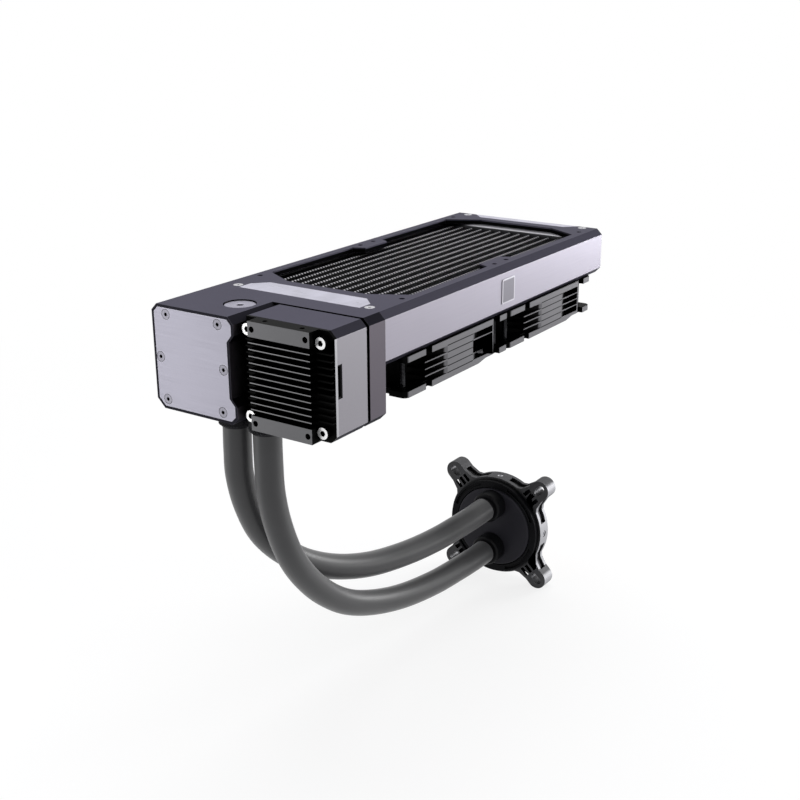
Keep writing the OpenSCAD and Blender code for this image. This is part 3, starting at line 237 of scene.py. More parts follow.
# Colour by place and by face, much of it painted light and shade: faces that the lamps catch are
# painted bright, and deep walls are painted black as shade.
# A pair of numbers for ramp is where its mask starts and where it is full.

# Near black: painted shade in recesses and behind lit faces, and the black of dark parts.
DEEP = (0.002, 0.002, 0.002)
WALL_FACE = (0.94, 0.98)
SLANTING_FACE = (0.985, 0.96)
NOT_LEVEL = (0.9, 0.7)
FRONT_FACE = (-0.8, -0.95)   # faces that point towards -X


def shade(color, factor):
    return tuple(c * factor for c in color)


def painted_by_face(tree, color, wall, slant):
    """Painted light and shade by face: level faces keep the colour, while walls and slanting
    bevels have their own.
    """
    fx, fy, fz = lengths(tree, face_of(tree))
    upright = calc(tree, "MAXIMUM", fx, fy)
    tint = mixed(tree, ramp(tree, upright, *WALL_FACE), color, wall)
    straight = calc(tree, "MAXIMUM", upright, fz)
    return mixed(tree, ramp(tree, straight, *SLANTING_FACE), tint, slant)


def casing_tones(tree, color):
    """Anodised casing, with painted light on its walls, painted shade on its bevels, and black
    painted shade on the walls inside the window.
    """
    tint = painted_by_face(tree, color, shade(color, 1.3), shade(color, 0.62))
    x, y, z = place_of(tree)
    level = calc(tree, "ABSOLUTE", face_of(tree)[2])
    window = every(tree, ramp(tree, calc(tree, "ABSOLUTE", x), 0.1195, 0.1185),
                   ramp(tree, calc(tree, "ABSOLUTE", y), 0.0575, 0.0565),
                   ramp(tree, z, -0.0009, -0.0012), ramp(tree, level, *NOT_LEVEL))
    return mixed(tree, window, tint, DEEP)


# Painted light on the blocks' side walls
BLOCK_LIT_SIDES = (0.125, 0.113, 0.130)


def block_tones(bevels, rim=False):
    """Reservoir and pump blocks: painted light on the side walls, darker bevels as painted shade,
    and a dark rim of painted shade round the cover.
    """
    def tones(tree, color):
        dark = shade(color, bevels)
        tint = painted_by_face(tree, color, BLOCK_LIT_SIDES, dark)
        if rim:
            # Painted shade on the faces towards -X round the cover
            tint = mixed(tree, ramp(tree, face_of(tree)[0], -0.94, -0.98), tint, dark)
        return tint
    return tones


SINK_FIN_GAPS = 10
SINK_ENDS = 0.0243           # the height that the heatsink's fins leave free
SINK_SHIFT = 0.0002
# Painted light on the fins' front edges and on the base's edge
SINK_LIT_FIN_LINE = (0.20, 0.20, 0.205)
SINK_LIT_BASE_EDGE = (0.40, 0.40, 0.42)


def sink_tones(tree, color):
    """Painted light on the fronts: the drilled strips, a line on each fin and the edge of the
    base. Black elsewhere.
    """
    lo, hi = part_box("pump_heatsink")
    height = hi.z - lo.z
    x, y, z = place_of(tree)
    nx, ny, _ = face_of(tree)
    up = calc(tree, "SUBTRACT", z, (lo.z + hi.z) / 2)
    fins = wave(tree, calc(tree, "SUBTRACT", up, SINK_SHIFT), (height - SINK_ENDS) / SINK_FIN_GAPS)
    line = ramp(tree, fins, 0.85, 0.93)
    strip = ramp(tree, calc(tree, "ABSOLUTE", up), height / 2 - 0.0093, height / 2 - 0.0089)
    front = every(tree, ramp(tree, x, lo.x + 0.0008, lo.x + 0.0006),
                  ramp(tree, nx, *FRONT_FACE))
    tint = mixed(tree, every(tree, front, line), DEEP, SINK_LIT_FIN_LINE)
    tint = mixed(tree, every(tree, front, strip), tint, color)
    base = every(tree, ramp(tree, y, lo.y + 0.0012, lo.y + 0.0009), ramp(tree, ny, -0.75, -0.9),
                 ramp(tree, x, hi.x - 0.0022, hi.x - 0.0019))
    return mixed(tree, base, tint, SINK_LIT_BASE_EDGE)


def front_tones(node, light):
    """Painted light on a node's faces in its foremost plane towards -X, and painted shade behind
    them.
    """
    front_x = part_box(node)[0].x

    def tones(tree, color):
        front = every(tree, ramp(tree, place_of(tree)[0], front_x + 0.0008, front_x + 0.0006),
                      ramp(tree, face_of(tree)[0], *FRONT_FACE))
        return mixed(tree, front, DEEP, light)
    return tones


def badge_tones(tree, color):
    """Plain plate with a polished border."""
    lo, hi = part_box("badge_plate")
    x, _, z = place_of(tree)
    half_x, half_z = (hi.x - lo.x) / 2, (hi.z - lo.z) / 2
    across = off_centre(tree, x, (lo.x + hi.x) / 2)
    along = off_centre(tree, z, (lo.z + hi.z) / 2)
    border = calc(tree, "MAXIMUM", ramp(tree, across, half_x - 0.0011, half_x - 0.0008),
                  ramp(tree, along, half_z - 0.0011, half_z - 0.0008))
    return mixed(tree, border, color, (0.42, 0.41, 0.45))


def plug_tones(tree, color):
    """Bright top, with painted shade in the socket and on the sides."""
    top_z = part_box("filler_plug")[1].z
    top = ramp(tree, place_of(tree)[2], top_z - 0.0009, top_z - 0.0007)
    return mixed(tree, top, DEEP, color)


FAN_X = 0.060                # both fans' centres lie this far from the middle
FAN_SIDE_Y = (0.0590, 0.0594)
FAN_FLAT_X = (0.0150, 0.0148)
FAN_GROOVE_PITCH = 0.0043


def frame_tones(tree, color):
    """Black moulded frame with grooves: the bright flats on its outer walls are a painted
    reflection, and between the flanges it is black.
    """
    x, y, z = place_of(tree)
    sideways = calc(tree, "ABSOLUTE", face_of(tree)[1])
    # Painted reflection on the flat outer walls
    outer = every(tree, ramp(tree, sideways, 0.90, 0.995),
                  ramp(tree, calc(tree, "ABSOLUTE", y), *FAN_SIDE_Y))
    middle = off_centre(tree, calc(tree, "ABSOLUTE", x), FAN_X)
    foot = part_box("fan_near_frame")[0].z + 0.004
    grooves = wave(tree, calc(tree, "SUBTRACT", z, foot), FAN_GROOVE_PITCH)
    groove = every(tree, ramp(tree, middle, *FAN_FLAT_X), ramp(tree, grooves, 0.88, 0.95))
    return mixed(tree, groove, mixed(tree, outer, DEEP, color), DEEP)


def bracket_tones(tree, color):
    """Bright front and back, as painted light on the faces towards ±Y, and darker edges, as
    painted shade, less dark on the faces towards ±Z.
    """
    _, fy, fz = lengths(tree, face_of(tree))
    tint = mixed(tree, ramp(tree, fy, 0.70, 0.95), shade(color, 0.13), color)
    return mixed(tree, ramp(tree, fz, 0.70, 0.95), tint, shade(color, 0.24))


def tank_tones(tree, color):
    """End tanks: a painted highlight on top."""
    return mixed(tree, ramp(tree, face_of(tree)[2], 0.85, 0.95), color, (0.36, 0.355, 0.38))


TUBE_DOT_PITCH = 0.0028


def tube_tones(tree, color):
    """Flat tubes: painted highlights as bright dots along the tops, at the fins' folds."""
    top_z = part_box("core_tubes")[1].z
    x, _, z = place_of(tree)
    top = ramp(tree, z, top_z - 0.0009, top_z - 0.0004)
    dots = ramp(tree, wave(tree, x, TUBE_DOT_PITCH, "SINE"), 0.0, 0.4)
    return mixed(tree, every(tree, top, dots), color, (0.50, 0.49, 0.52))


# Finishes

DIM_TINT = (0.5, 0.5, 0.5)
# Reach and levels of the painted shade deep in the blocks' gaps
BLOCK_SHELTER = (0.014, 0.70, 0.35)
SCREW_GREY = (0.20, 0.195, 0.225)


def gunmetal(name, wear_and_highlight, tones, gap_shade=None):
    """Finely blasted, anodised metal."""
    surface(name, (0.087, 0.083, 0.110), metal=0.95, rough=(0.40, 0.50), grain=3800.0, bump=0.10,
            wear_and_highlight=wear_and_highlight, wear_and_highlight_radius=0.0003, edge_tint=(0.50, 0.50, 0.53), tones=tones, gap_shade=gap_shade)


def brushed(name, color, stretch, wear_and_highlight, gap_shade=None):
    """Metal with long fine brush lines."""
    surface(name, color, metal=0.95, rough=(0.40, 0.50), vary=0.02, grain=900.0, bump=0.06,
            stretch=stretch, wear_and_highlight=wear_and_highlight, edge_tint=(0.9, 0.9, 0.95), gap_shade=gap_shade)


# The lighter worn edges in these finishes are partly painted edge highlights.
gunmetal("gunmetal", (0.20, 0.19, 0.22), casing_tones)
# The blocks' darker bevels are painted shade.
gunmetal("gunmetal_block", (0.12, 0.12, 0.14), block_tones(0.15, rim=True), BLOCK_SHELTER)
gunmetal("gunmetal_pump", (0.16, 0.16, 0.18), block_tones(0.35), BLOCK_SHELTER)
brushed("silver", (0.290, 0.276, 0.317), (0.03, 1, 3), (0.8, 0.8, 0.84))
brushed("cover", (0.318, 0.310, 0.362), (1, 0.03, 3), (0.75, 0.75, 0.8),
        gap_shade=(0.0022, 0.5, 0.2))
brushed("silver_dark", (0.252, 0.243, 0.265), (1, 0.03, 3), (0.6, 0.6, 0.65))
surface("badge", (0.165, 0.160, 0.185), metal=0.95, rough=(0.34, 0.44), vary=0.04, grain=1500.0,
        bump=0.06, stretch=(0.04, 1, 3), tones=badge_tones)
surface("accent", (0.49, 0.48, 0.58), metal=0.5, rough=(0.26, 0.38), vary=0.14, grain=1200.0,
        bump=0.05, stretch=(1, 0.05, 1), wear_and_highlight=(0.85, 0.85, 0.9), broad=90.0)
surface("black_metal", (0.006, 0.006, 0.007), metal=0.3, rough=(0.36, 0.50), vary=0.15,
        grain=2600.0, bump=0.10, wear_and_highlight=(0.10, 0.10, 0.11), specular=0.12, edge_tint=DIM_TINT)
surface("collar", (0.010, 0.010, 0.012), metal=0.5, rough=(0.30, 0.42), vary=0.15, grain=2600.0,
        bump=0.10, wear_and_highlight=(0.20, 0.20, 0.21), wear_and_highlight_radius=0.00025, specular=0.2,
        edge_tint=DIM_TINT, gap_shade=(0.0015, 0.7, 0.3))
# The heatsink's colour is painted light on its front strips.
surface("heatsink", (0.128, 0.128, 0.133), metal=0.9, rough=(0.38, 0.50), vary=0.05,
        grain=2600.0, bump=0.10, edge_tint=DIM_TINT, tones=sink_tones)
surface("tube", (0.004, 0.004, 0.005), metal=0.9, rough=(0.30, 0.42), vary=0.2, grain=1400.0,
        bump=0.08, stretch=(0.2, 1, 1), broad=60.0, edge_tint=DIM_TINT, tones=tube_tones,
        gap_shade=(0.030, 0.85, 0.40))
surface("fins", (0.008, 0.008, 0.009), metal=0.8, rough=(0.38, 0.52), vary=0.2, grain=1600.0,
        bump=0.06, broad=80.0, edge_tint=DIM_TINT)
# The bracket's colour is painted light on its faces towards ±Y.
surface("bracket", (0.45, 0.45, 0.47), metal=0.9, rough=(0.52, 0.62), vary=0.06, grain=2400.0,
        bump=0.10, wear_and_highlight=(0.30, 0.30, 0.32), edge_tint=(0.6, 0.6, 0.6), tones=bracket_tones,
        gap_shade=(0.006, 0.72, 0.42))
surface("steel", (0.50, 0.50, 0.53), metal=1.0, rough=(0.20, 0.32), vary=0.05, grain=2000.0,
        bump=0.05, wear_and_highlight=(0.8, 0.8, 0.82), gap_shade=(0.0012, 0.5, 0.25))
surface("white_steel", (0.85, 0.85, 0.85), metal=0.7, rough=(0.22, 0.32), vary=0.04,
        grain=2000.0, bump=0.05, tones=front_tones("pump_screws", (0.95, 0.95, 0.95)),
        edge_tint=DIM_TINT, specular=0.2)
surface("black_steel", (0.045, 0.045, 0.048), metal=0.9, rough=(0.12, 0.20), vary=0.15,
        grain=2000.0, bump=0.05, edge_tint=(0.4, 0.4, 0.4))
surface("rubber", (0.006, 0.006, 0.006), rough=(0.5, 0.62), vary=0.15, grain=3000.0, bump=0.12,
        specular=0.1)
surface("hose", (0.036, 0.036, 0.038), rough=(0.38, 0.46), vary=0.12, grain=1400.0, bump=0.05,
        broad=40.0, specular=0.42, sheen=0.35)
surface("plastic", (0.005, 0.005, 0.006), rough=(0.38, 0.52), vary=0.12, grain=2200.0, bump=0.18,
        depth=0.00003, specular=0.1)
# The fan frames' colour is a painted reflection on their flat outer walls; the rest of them is
# black.
surface("fan_frame", (0.180, 0.178, 0.188), metal=0.75, rough=(0.34, 0.44), vary=0.06,
        grain=2200.0, bump=0.10, specular=0.1, edge_tint=(0.45, 0.45, 0.45), tones=frame_tones)
surface("fan_plastic", (0.012, 0.012, 0.013), rough=(0.30, 0.40), vary=0.12, grain=2200.0,
        bump=0.08, specular=0.35)
surface("cap", (0.028, 0.027, 0.034), rough=(0.30, 0.40), vary=0.12, grain=2600.0, bump=0.08,
        specular=0.10)
surface("white_plastic", (0.70, 0.70, 0.67), rough=(0.35, 0.45))
surface("board", (0.02, 0.10, 0.05), rough=(0.25, 0.4), vary=0.2, coat=0.5)
surface("copper", (0.72, 0.36, 0.22), metal=1.0, rough=(0.18, 0.30), vary=0.06, grain=1400.0,
        bump=0.06, stretch=(1, 1, 0.05), wear_and_highlight=(0.9, 0.55, 0.4))
surface("winding", (0.55, 0.22, 0.08), metal=0.8, rough=(0.25, 0.4), vary=0.15, grain=2500.0,
        bump=0.4, depth=0.0002, stretch=(3, 1, 1))
surface("cover_steel", SCREW_GREY, metal=0.95, rough=(0.30, 0.40),
        tones=front_tones("cover_screws", SCREW_GREY), edge_tint=DIM_TINT)
surface("tank", (0.010, 0.010, 0.011), metal=0.9, rough=(0.30, 0.42), vary=0.1, grain=2600.0,
        bump=0.10, edge_tint=DIM_TINT, tones=tank_tones)
surface("plug", (0.42, 0.41, 0.48), metal=0.95, rough=(0.34, 0.44), vary=0.02, grain=900.0,
        bump=0.05, edge_tint=(0.6, 0.6, 0.62), tones=plug_tones, gap_shade=(0.002, 0.5, 0.25))

NODE_FINISH = {
    "casing": "gunmetal", "panel_front": "silver", "panel_back": "silver",
    "badge_plate": "badge", "near_tank": "tank", "far_tank": "tank",
    "core_tubes": "tube", "core_fins": "fins", "core_plates": "black_metal",
    "accent_near": "accent", "accent_far": "accent", "accent_screws": "steel",
    "manifold": "gunmetal_block", "cover_seal": "rubber", "cover_plate": "cover",
    "cover_screws": "cover_steel", "filler_plug": "plug", "filler_seal": "rubber",
    "pump_spacer": "plastic", "pump_housing": "gunmetal_pump", "pump_panel": "silver_dark",
    "pump_socket": "plastic", "pump_heatsink": "heatsink", "pump_screws": "white_steel",
    "pump_stator": "winding", "pump_board": "board", "pump_shaft": "steel",
    "pump_impeller": "white_plastic", "fan_near_frame": "fan_frame", "fan_near_motor": "plastic",
    "fan_near_rotor": "fan_plastic", "fan_near_shaft": "steel", "fan_far_frame": "fan_frame",
    "fan_far_motor": "plastic", "fan_far_rotor": "fan_plastic", "fan_far_shaft": "steel",
    "fan_screws": "black_steel", "port_necks": "black_metal", "collar_outer": "collar",
    "collar_inner": "collar", "hose_outer": "hose", "hose_inner": "hose",
    "block_ports": "plastic", "block_cap": "cap", "clamp_ring": "black_metal",
    "block_body": "plastic", "bracket": "bracket", "bracket_screws": "steel",
    "cold_plate": "copper", "plate_screws": "steel",
}

# CAD nodes. Those that aren't in BEVEL_MM keep their sharp edges.

BEVEL_MM = {
    "casing": 0.35, "panel_front": 0.15, "panel_back": 0.15, "badge_plate": 0.12,
    "near_tank": 0.4, "far_tank": 0.4, "core_plates": 0.15, "accent_near": 0.15,
    "accent_far": 0.15, "accent_screws": 0.08, "manifold": 0.35, "cover_plate": 0.18,
    "cover_screws": 0.08, "filler_plug": 0.25, "pump_spacer": 0.15, "pump_housing": 0.3,
    "pump_panel": 0.15, "pump_socket": 0.15, "pump_heatsink": 0.18, "pump_screws": 0.25,
    "pump_board": 0.1, "pump_impeller": 0.15, "fan_near_frame": 0.25,
    "fan_far_frame": 0.25, "fan_near_motor": 0.3, "fan_far_motor": 0.3, "fan_screws": 0.15,
    "port_necks": 0.2, "block_ports": 0.3, "clamp_ring": 0.2, "block_body": 0.2,
    "bracket": 0.35, "bracket_screws": 0.08, "cold_plate": 0.2, "plate_screws": 0.08,
}


def smooth_all(mesh):
    if "custom_normal" in mesh.attributes:
        mesh.attributes.remove(mesh.attributes["custom_normal"])
    mesh.polygons.foreach_set("use_smooth", [True] * len(mesh.polygons))


def merge_flat(piece):
    """Welds a piece's faces and merges its flat ones."""
    weld = piece.modifiers.new("weld", "WELD")
    weld.merge_threshold = 0.000004
    merge = piece.modifiers.new("merge", "DECIMATE")
    merge.decimate_type = "DISSOLVE"
    merge.angle_limit = math.radians(0.4)


def round_edges(piece, width):
    bevel = piece.modifiers.new("bevel", "BEVEL")
    bevel.width = width
    bevel.segments = 2
    bevel.limit_method = "ANGLE"
    bevel.angle_limit = math.radians(28)
    bevel.harden_normals = True
    bevel.use_clamp_overlap = True
    bevel.miter_outer = "MITER_ARC"


def sharpen(piece):
    """Splits the sharp edges, so that they aren't shaded as round."""
    split = piece.modifiers.new("split", "EDGE_SPLIT")
    split.split_angle = math.radians(32)


for name, node in NODES.items():
    smooth_all(node.data)
    node.data.materials.clear()
    node.data.materials.append(FINISH[NODE_FINISH[name]])
    merge_flat(node)
    if name in BEVEL_MM:
        round_edges(node, BEVEL_MM[name] * MM)
    else:
        sharpen(node)

# Pieces


def add_piece(name, mesh, finish, node=None):
    """Puts a piece on the cooler's body, in the place of a node if one is named."""
    piece = bpy.data.objects.new(name, mesh)
    bpy.context.scene.collection.objects.link(piece)
    mesh.materials.append(FINISH[finish])
    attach(piece, "cooler")
    if node:
        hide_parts(node)
    return piece


def mesh_of(name, points, faces):
    mesh = bpy.data.meshes.new(name)
    mesh.from_pydata([Vector(p) for p in points], [], faces)
    mesh.validate()
    mesh.update()
    return mesh


# Hoses: the CAD routes' points in millimetres, on the same smooth curve
OUTER_ROUTE = [
    (-158, 36.5, -80), (-158.5, 36.5, -96), (-158, 36.5, -113), (-153, 36, -134),
    (-143, 34.5, -156), (-128, 31.5, -174), (-108, 27, -190), (-82, 21.5, -203),
    (-52, 15.5, -211.8), (-20, 9, -215.4), (10, 3, -215.4), (34, -3, -212),
    (48, -6.3, -209.6), (62.5, -8.3, -207.65)]
INNER_ROUTE = [
    (-158, 13, -80), (-158, 13, -99), (-157, 13, -120), (-152.5, 12.5, -142),
    (-143.5, 11.5, -166), (-130, 10.5, -187), (-112, 9, -206), (-90, 7, -221.8),
    (-62, 4.5, -233.6), (-32, 1, -240.8), (0, -3, -243.8), (27, -6, -243.8),
    (46, -7.8, -243.4), (62.5, -8.3, -243.15)]
HOSE_D = 0.0175
ROUTE_STEPS = 6              # places on the curve for each stretch of a route


def smooth_route(route):
    p = [Vector(q) * MM for q in route]
    q = [2 * p[0] - p[1], *p, 2 * p[-1] - p[-2]]
    line = []
    for i in range(1, len(q) - 2):
        a, b, c, d = q[i - 1:i + 3]
        for s in range(ROUTE_STEPS):
            t = s / ROUTE_STEPS
            line.append(0.5 * (2 * b + (c - a) * t + (2 * a - 5 * b + 4 * c - d) * t ** 2
                               + (3 * b - a - 3 * c + d) * t ** 3))
    return [*line, p[-1]]


def hose(name, route, node):
    line = smooth_route(route)
    curve = bpy.data.curves.new(name, "CURVE")
    curve.dimensions = "3D"
    curve.bevel_depth = HOSE_D / 2
    curve.bevel_resolution = 10
    curve.use_fill_caps = True
    spline = curve.splines.new("POLY")
    spline.points.add(len(line) - 1)
    for point, place in zip(spline.points, line):
        point.co = (*place, 1)
    spline.use_smooth = True
    piece = add_piece(name, curve, "hose", node)


hose("outer_hose", OUTER_ROUTE, "hose_outer")
hose("inner_hose", INNER_ROUTE, "hose_inner")


COLLAR_X = -0.158
# Millimetres: heights of the collar's top, of its band's end, of its knurl's end and of its foot
COLLAR_TOP, COLLAR_BAND, COLLAR_KNURL, COLLAR_LOW = -62.3, -74.8, -78.5, -80.0
COLLAR_BORE_R, COLLAR_BAND_R, KNURL_R, KNURL_HEIGHT, KNURL_LEAD = 8.8, 11.2, 10.4, 0.7, 1.85
KNURL_RIDGES, KNURL_STEPS, KNURL_ROWS = 36, 6, 14


def knurl_radius(angle, z):
    u = angle * KNURL_RIDGES / (2 * math.pi)
    v = (z - COLLAR_KNURL) / KNURL_LEAD
    crossed = min(abs(math.sin(math.pi * (u + v))), abs(math.sin(math.pi * (u - v))))
    return KNURL_R + KNURL_HEIGHT * crossed ** 0.7


def collar(name, y, node):
    """Knurled collar: plain band, crossed ridges and a bevelled foot."""
    top, band, foot, low = COLLAR_TOP, COLLAR_BAND, COLLAR_KNURL, COLLAR_LOW
    knurl_top = band - 0.2
    # Height and radius of each ring of points. A ring without a radius is knurled.
    rows = [(top, 10.9), (top - 0.25, COLLAR_BAND_R), (band + 0.2, COLLAR_BAND_R), (band, 11.0),
            (band - 0.05, 10.6), (band - 0.15, 10.6)]
    rows += [(knurl_top - (knurl_top - foot) * k / KNURL_ROWS, None)
             for k in range(KNURL_ROWS + 1)]
    rows += [(foot - 0.02, 10.4), (foot - 0.1, 10.35), (low, 9.4), (low, COLLAR_BORE_R),
             (top, COLLAR_BORE_R)]
    n, m = KNURL_RIDGES * KNURL_STEPS, len(rows)
    points, faces = [], []
    for z, radius in rows:
        for j in range(n):
            a = 2 * math.pi * j / n
            r = radius or knurl_radius(a, z)
            points.append((COLLAR_X + r * MM * math.cos(a), y * MM + r * MM * math.sin(a), z * MM))
    for i in range(m):
        for j in range(n):
            a, b = i * n + j, i * n + (j + 1) % n
            c, d = ((i + 1) % m) * n + (j + 1) % n, ((i + 1) % m) * n + j
            faces.append((a, d, c, b))
    mesh = mesh_of(name, points, faces)
    smooth_all(mesh)
    sharpen(add_piece(name, mesh, "collar", node))


collar("outer_collar", 36.5, "collar_outer")
collar("inner_collar", 13.0, "collar_inner")

FIN_STRIPS = 14
FIN_FIRST_MM, FIN_PITCH_MM, FIN_INSET_MM = -56, 8, 1.05
FIN_FOLD, FIN_SHEET, FIN_DEPTH = 0.0021, 0.00016, 0.0059
FIN_END_GAP = 0.0003         # from each end of the row to the first fold
FIN_BEND = 0.00022           # half of a bend's length
FIN_BEND_DEPTH = 0.0003


def fold_line(x0, x1, y0):
    """Middle line of a folded strip, seen from above."""
    line = []
    for k in range(int((x1 - x0) / (FIN_FOLD / 2)) + 1):
        x = x0 + FIN_END_GAP + k * FIN_FOLD / 2
        if x > x1 - FIN_END_GAP:
            break
        y = y0 + (k % 2) * FIN_DEPTH
        inside = 1 if k % 2 == 0 else -1
        line += [(x - FIN_BEND, y + inside * FIN_BEND_DEPTH), (x, y + inside * FIN_SHEET / 2),
                 (x + FIN_BEND, y + inside * FIN_BEND_DEPTH)]
    return line


def folded_fins():
    """Thin folded strips between the tubes, with rounded bends."""
    lo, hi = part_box("core_fins")
    points, faces = [], []
    for i in range(FIN_STRIPS):
        y0 = (FIN_FIRST_MM + FIN_PITCH_MM * i + FIN_INSET_MM) * MM
        line = fold_line(lo.x, hi.x, y0)
        start = len(points)
        for k, (x, y) in enumerate(line):
            a = line[max(0, k - 1)]
            b = line[min(len(line) - 1, k + 1)]
            t = Vector((b[0] - a[0], b[1] - a[1])).normalized()
            nx, ny = -t.y * FIN_SHEET / 2, t.x * FIN_SHEET / 2
            for z in (lo.z, hi.z):
                points.append((x + nx, y + ny, z))
            for z in (hi.z, lo.z):
                points.append((x - nx, y - ny, z))
        for k in range(len(line) - 1):
            a = start + 4 * k
            for j in range(4):
                faces.append((a + j, a + (j + 1) % 4, a + 4 + (j + 1) % 4, a + 4 + j))
        faces.append(tuple(start + j for j in (3, 2, 1, 0)))
        end = start + 4 * (len(line) - 1)
        faces.append(tuple(end + j for j in range(4)))
    add_piece("folded_fins", mesh_of("folded_fins", points, faces), "fins",
              "core_fins")


folded_fins()

SCREW_XS, SCREW_YS = (-112.5, -7.5, 7.5, 112.5), (-52.5, 52.5)
THREAD_FROM, THREAD_TO, THREAD_PITCH = -52.8, -36.4, 0.8
THREAD_STEPS = 14            # places on each turn
THREAD_ROOT_R, THREAD_CREST_R, THREAD_HALF = 1.5, 1.88, 0.36


def screw_threads():
    """Helical ridges on the long fan screws, between the fans' flanges."""
    points, faces = [], []
    total = int((THREAD_TO - THREAD_FROM) / THREAD_PITCH * THREAD_STEPS)
    ridge = ((THREAD_ROOT_R, -THREAD_HALF), (THREAD_CREST_R, 0.0), (THREAD_ROOT_R, THREAD_HALF))
    for x in SCREW_XS:
        for y in SCREW_YS:
            start = len(points)
            for k in range(total + 1):
                a = 2 * math.pi * k / THREAD_STEPS
                z = THREAD_FROM + (THREAD_TO - THREAD_FROM) * k / total
                for r, dz in ridge:
                    points.append(((x + r * math.cos(a)) * MM, (y + r * math.sin(a)) * MM,
                                   (z + dz) * MM))
            for k in range(total):
                a = start + 3 * k
                faces += [(a, a + 3, a + 4, a + 1), (a + 1, a + 4, a + 5, a + 2),
                          (a + 2, a + 5, a + 3, a)]
            end = start + 3 * total
            faces += [(start, start + 1, start + 2), (end, end + 2, end + 1)]
    add_piece("fan_screw_threads", mesh_of("fan_screw_threads", points, faces), "black_steel")


screw_threads()

# Camera at the photograph's angle

CAMERA_AT = Vector((-0.6781, -0.4347, 0.1765))
CAMERA_YAW, CAMERA_PITCH, CAMERA_ROLL = map(math.radians, (55.83, 19.19, -0.30))
CAMERA_LENS_MM, CAMERA_SENSOR_MM = 55.57, 36.0


def make_camera():
    sy, cy = math.sin(CAMERA_YAW), math.cos(CAMERA_YAW)
    sp, cp = math.sin(CAMERA_PITCH), math.cos(CAMERA_PITCH)
    ahead = Vector((sy * cp, cy * cp, -sp))
    right = Vector((cy, -sy, 0))
    up = right.cross(ahead)
    cr, sr = math.cos(CAMERA_ROLL), math.sin(CAMERA_ROLL)
    right, up = cr * right + sr * up, cr * up - sr * right
    data = bpy.data.cameras.new("camera")
    data.sensor_width = CAMERA_SENSOR_MM
    data.lens = CAMERA_LENS_MM
    data.clip_start, data.clip_end = 0.01, 50.0
    camera = bpy.data.objects.new("camera", data)
    bpy.context.scene.collection.objects.link(camera)
    turn = Matrix((right, up, -ahead)).transposed().to_4x4()
    camera.matrix_world = Matrix.Translation(CAMERA_AT) @ turn
    bpy.context.scene.camera = camera


make_camera()

# Floor, room and lamps

FLOOR_HALF, FLOOR_GAP = 6.0, 0.0004
FLOOR_NEAR = (0.35, 0.9)     # how far from the middle the floor turns fully white
SHADOWLESS, NEAR_GLOW = 0.72, 1.12


def white_view(tree):
    """1 for what the camera, gloss and glass see, and 0 for soft light."""
    path = tree.nodes.new("ShaderNodeLightPath")
    seen = calc(tree, "MAXIMUM", path.outputs["Is Camera Ray"], path.outputs["Is Glossy Ray"])
    return calc(tree, "MAXIMUM", seen, path.outputs["Is Transmission Ray"])


def glow(tree, strength):
    node = tree.nodes.new("ShaderNodeEmission")
    node.inputs["Strength"].default_value = strength
    return node.outputs["Emission"]


def blend_shaders(tree, factor, a, b):
    node = tree.nodes.new("ShaderNodeMixShader")
    if isinstance(factor, float):
        node.inputs["Fac"].default_value = factor
    else:
        tree.links.new(factor, node.inputs["Fac"])
    tree.links.new(a, node.inputs[1])
    tree.links.new(b, node.inputs[2])
    return node.outputs["Shader"]


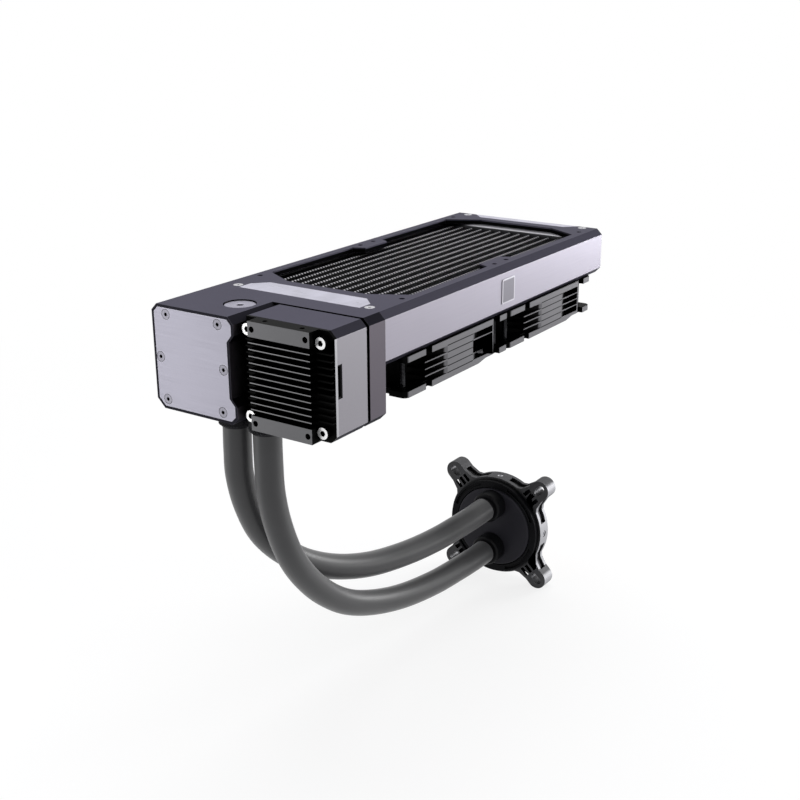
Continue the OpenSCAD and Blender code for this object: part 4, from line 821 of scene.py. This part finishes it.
def make_floor():
    """Pale floor: white to the camera, with the object's soft shadow on it."""
    z = CAD_BOX[0].z - FLOOR_GAP
    half = FLOOR_HALF
    mesh = mesh_of("floor", [(-half, -half, z), (half, -half, z), (half, half, z),
                             (-half, half, z)], [(0, 1, 2, 3)])
    mat, tree, shader = new_material("floor")
    shader.inputs["Roughness"].default_value = 0.9
    shader.inputs["Specular IOR Level"].default_value = 0.0
    tint = mixed(tree, noise(tree, 3.0, 2.0), (0.795, 0.795, 0.80), (0.805, 0.805, 0.81))
    tree.links.new(tint, shader.inputs["Base Color"])
    x, y, _ = place_of(tree)
    away = calc(tree, "SQRT", calc(tree, "ADD", calc(tree, "MULTIPLY", x, x),
                                   calc(tree, "MULTIPLY", y, y)))
    near = blend_shaders(tree, SHADOWLESS, shader.outputs["BSDF"], glow(tree, NEAR_GLOW))
    seen = blend_shaders(tree, ramp(tree, away, *FLOOR_NEAR), near, glow(tree, 1.0))
    both = blend_shaders(tree, white_view(tree), shader.outputs["BSDF"], seen)
    out = next(n for n in tree.nodes if n.type == "OUTPUT_MATERIAL")
    tree.links.new(both, out.inputs["Surface"])
    mesh.materials.append(mat)
    floor = bpy.data.objects.new("floor", mesh)
    bpy.context.scene.collection.objects.link(floor)


def make_world():
    """White where the camera, gloss or glass sees it, and a softer level for diffuse light."""
    world = bpy.data.worlds.new("studio")
    bpy.context.scene.world = world
    world.use_nodes = True
    tree = world.node_tree
    tree.nodes.clear()
    out = tree.nodes.new("ShaderNodeOutputWorld")
    seen = tree.nodes.new("ShaderNodeBackground")
    soft = tree.nodes.new("ShaderNodeBackground")
    seen.inputs["Color"].default_value = (1, 1, 1, 1)
    soft.inputs["Color"].default_value = (0.98, 0.985, 1.0, 1)
    soft.inputs["Strength"].default_value = 0.5
    both = blend_shaders(tree, white_view(tree), soft.outputs["Background"],
                         seen.outputs["Background"])
    tree.links.new(both, out.inputs["Surface"])


def area_light(name, at, target, size, power):
    """Rectangular lamp that the camera doesn't see. The power is in watts."""
    data = bpy.data.lights.new(name, "AREA")
    data.shape = "RECTANGLE"
    data.size, data.size_y = size
    data.energy = power
    lamp = bpy.data.objects.new(name, data)
    bpy.context.scene.collection.objects.link(lamp)
    at, target = Vector(at), Vector(target)
    lamp.location = at
    lamp.rotation_mode = "QUATERNION"
    lamp.rotation_quaternion = (target - at).to_track_quat("-Z", "Y")
    lamp.visible_camera = False


make_floor()
make_world()
area_light("key", (1.05, -0.50, 0.05), (0, 0, -0.10), (0.40, 0.45), 7.0)
area_light("front", (1.25, -2.17, 0.08), (0, 0, -0.2), (0.55, 0.55), 7.6)
area_light("side", (-0.42, 0.26, -0.09), (-0.158, 0.02, -0.11), (0.05, 0.32), 0.18)
area_light("top", (0.3, 0.3, 1.3), (0, 0, -0.05), (1.1, 1.1), 9.0)

bpy.context.scene.view_settings.view_transform = "Standard"
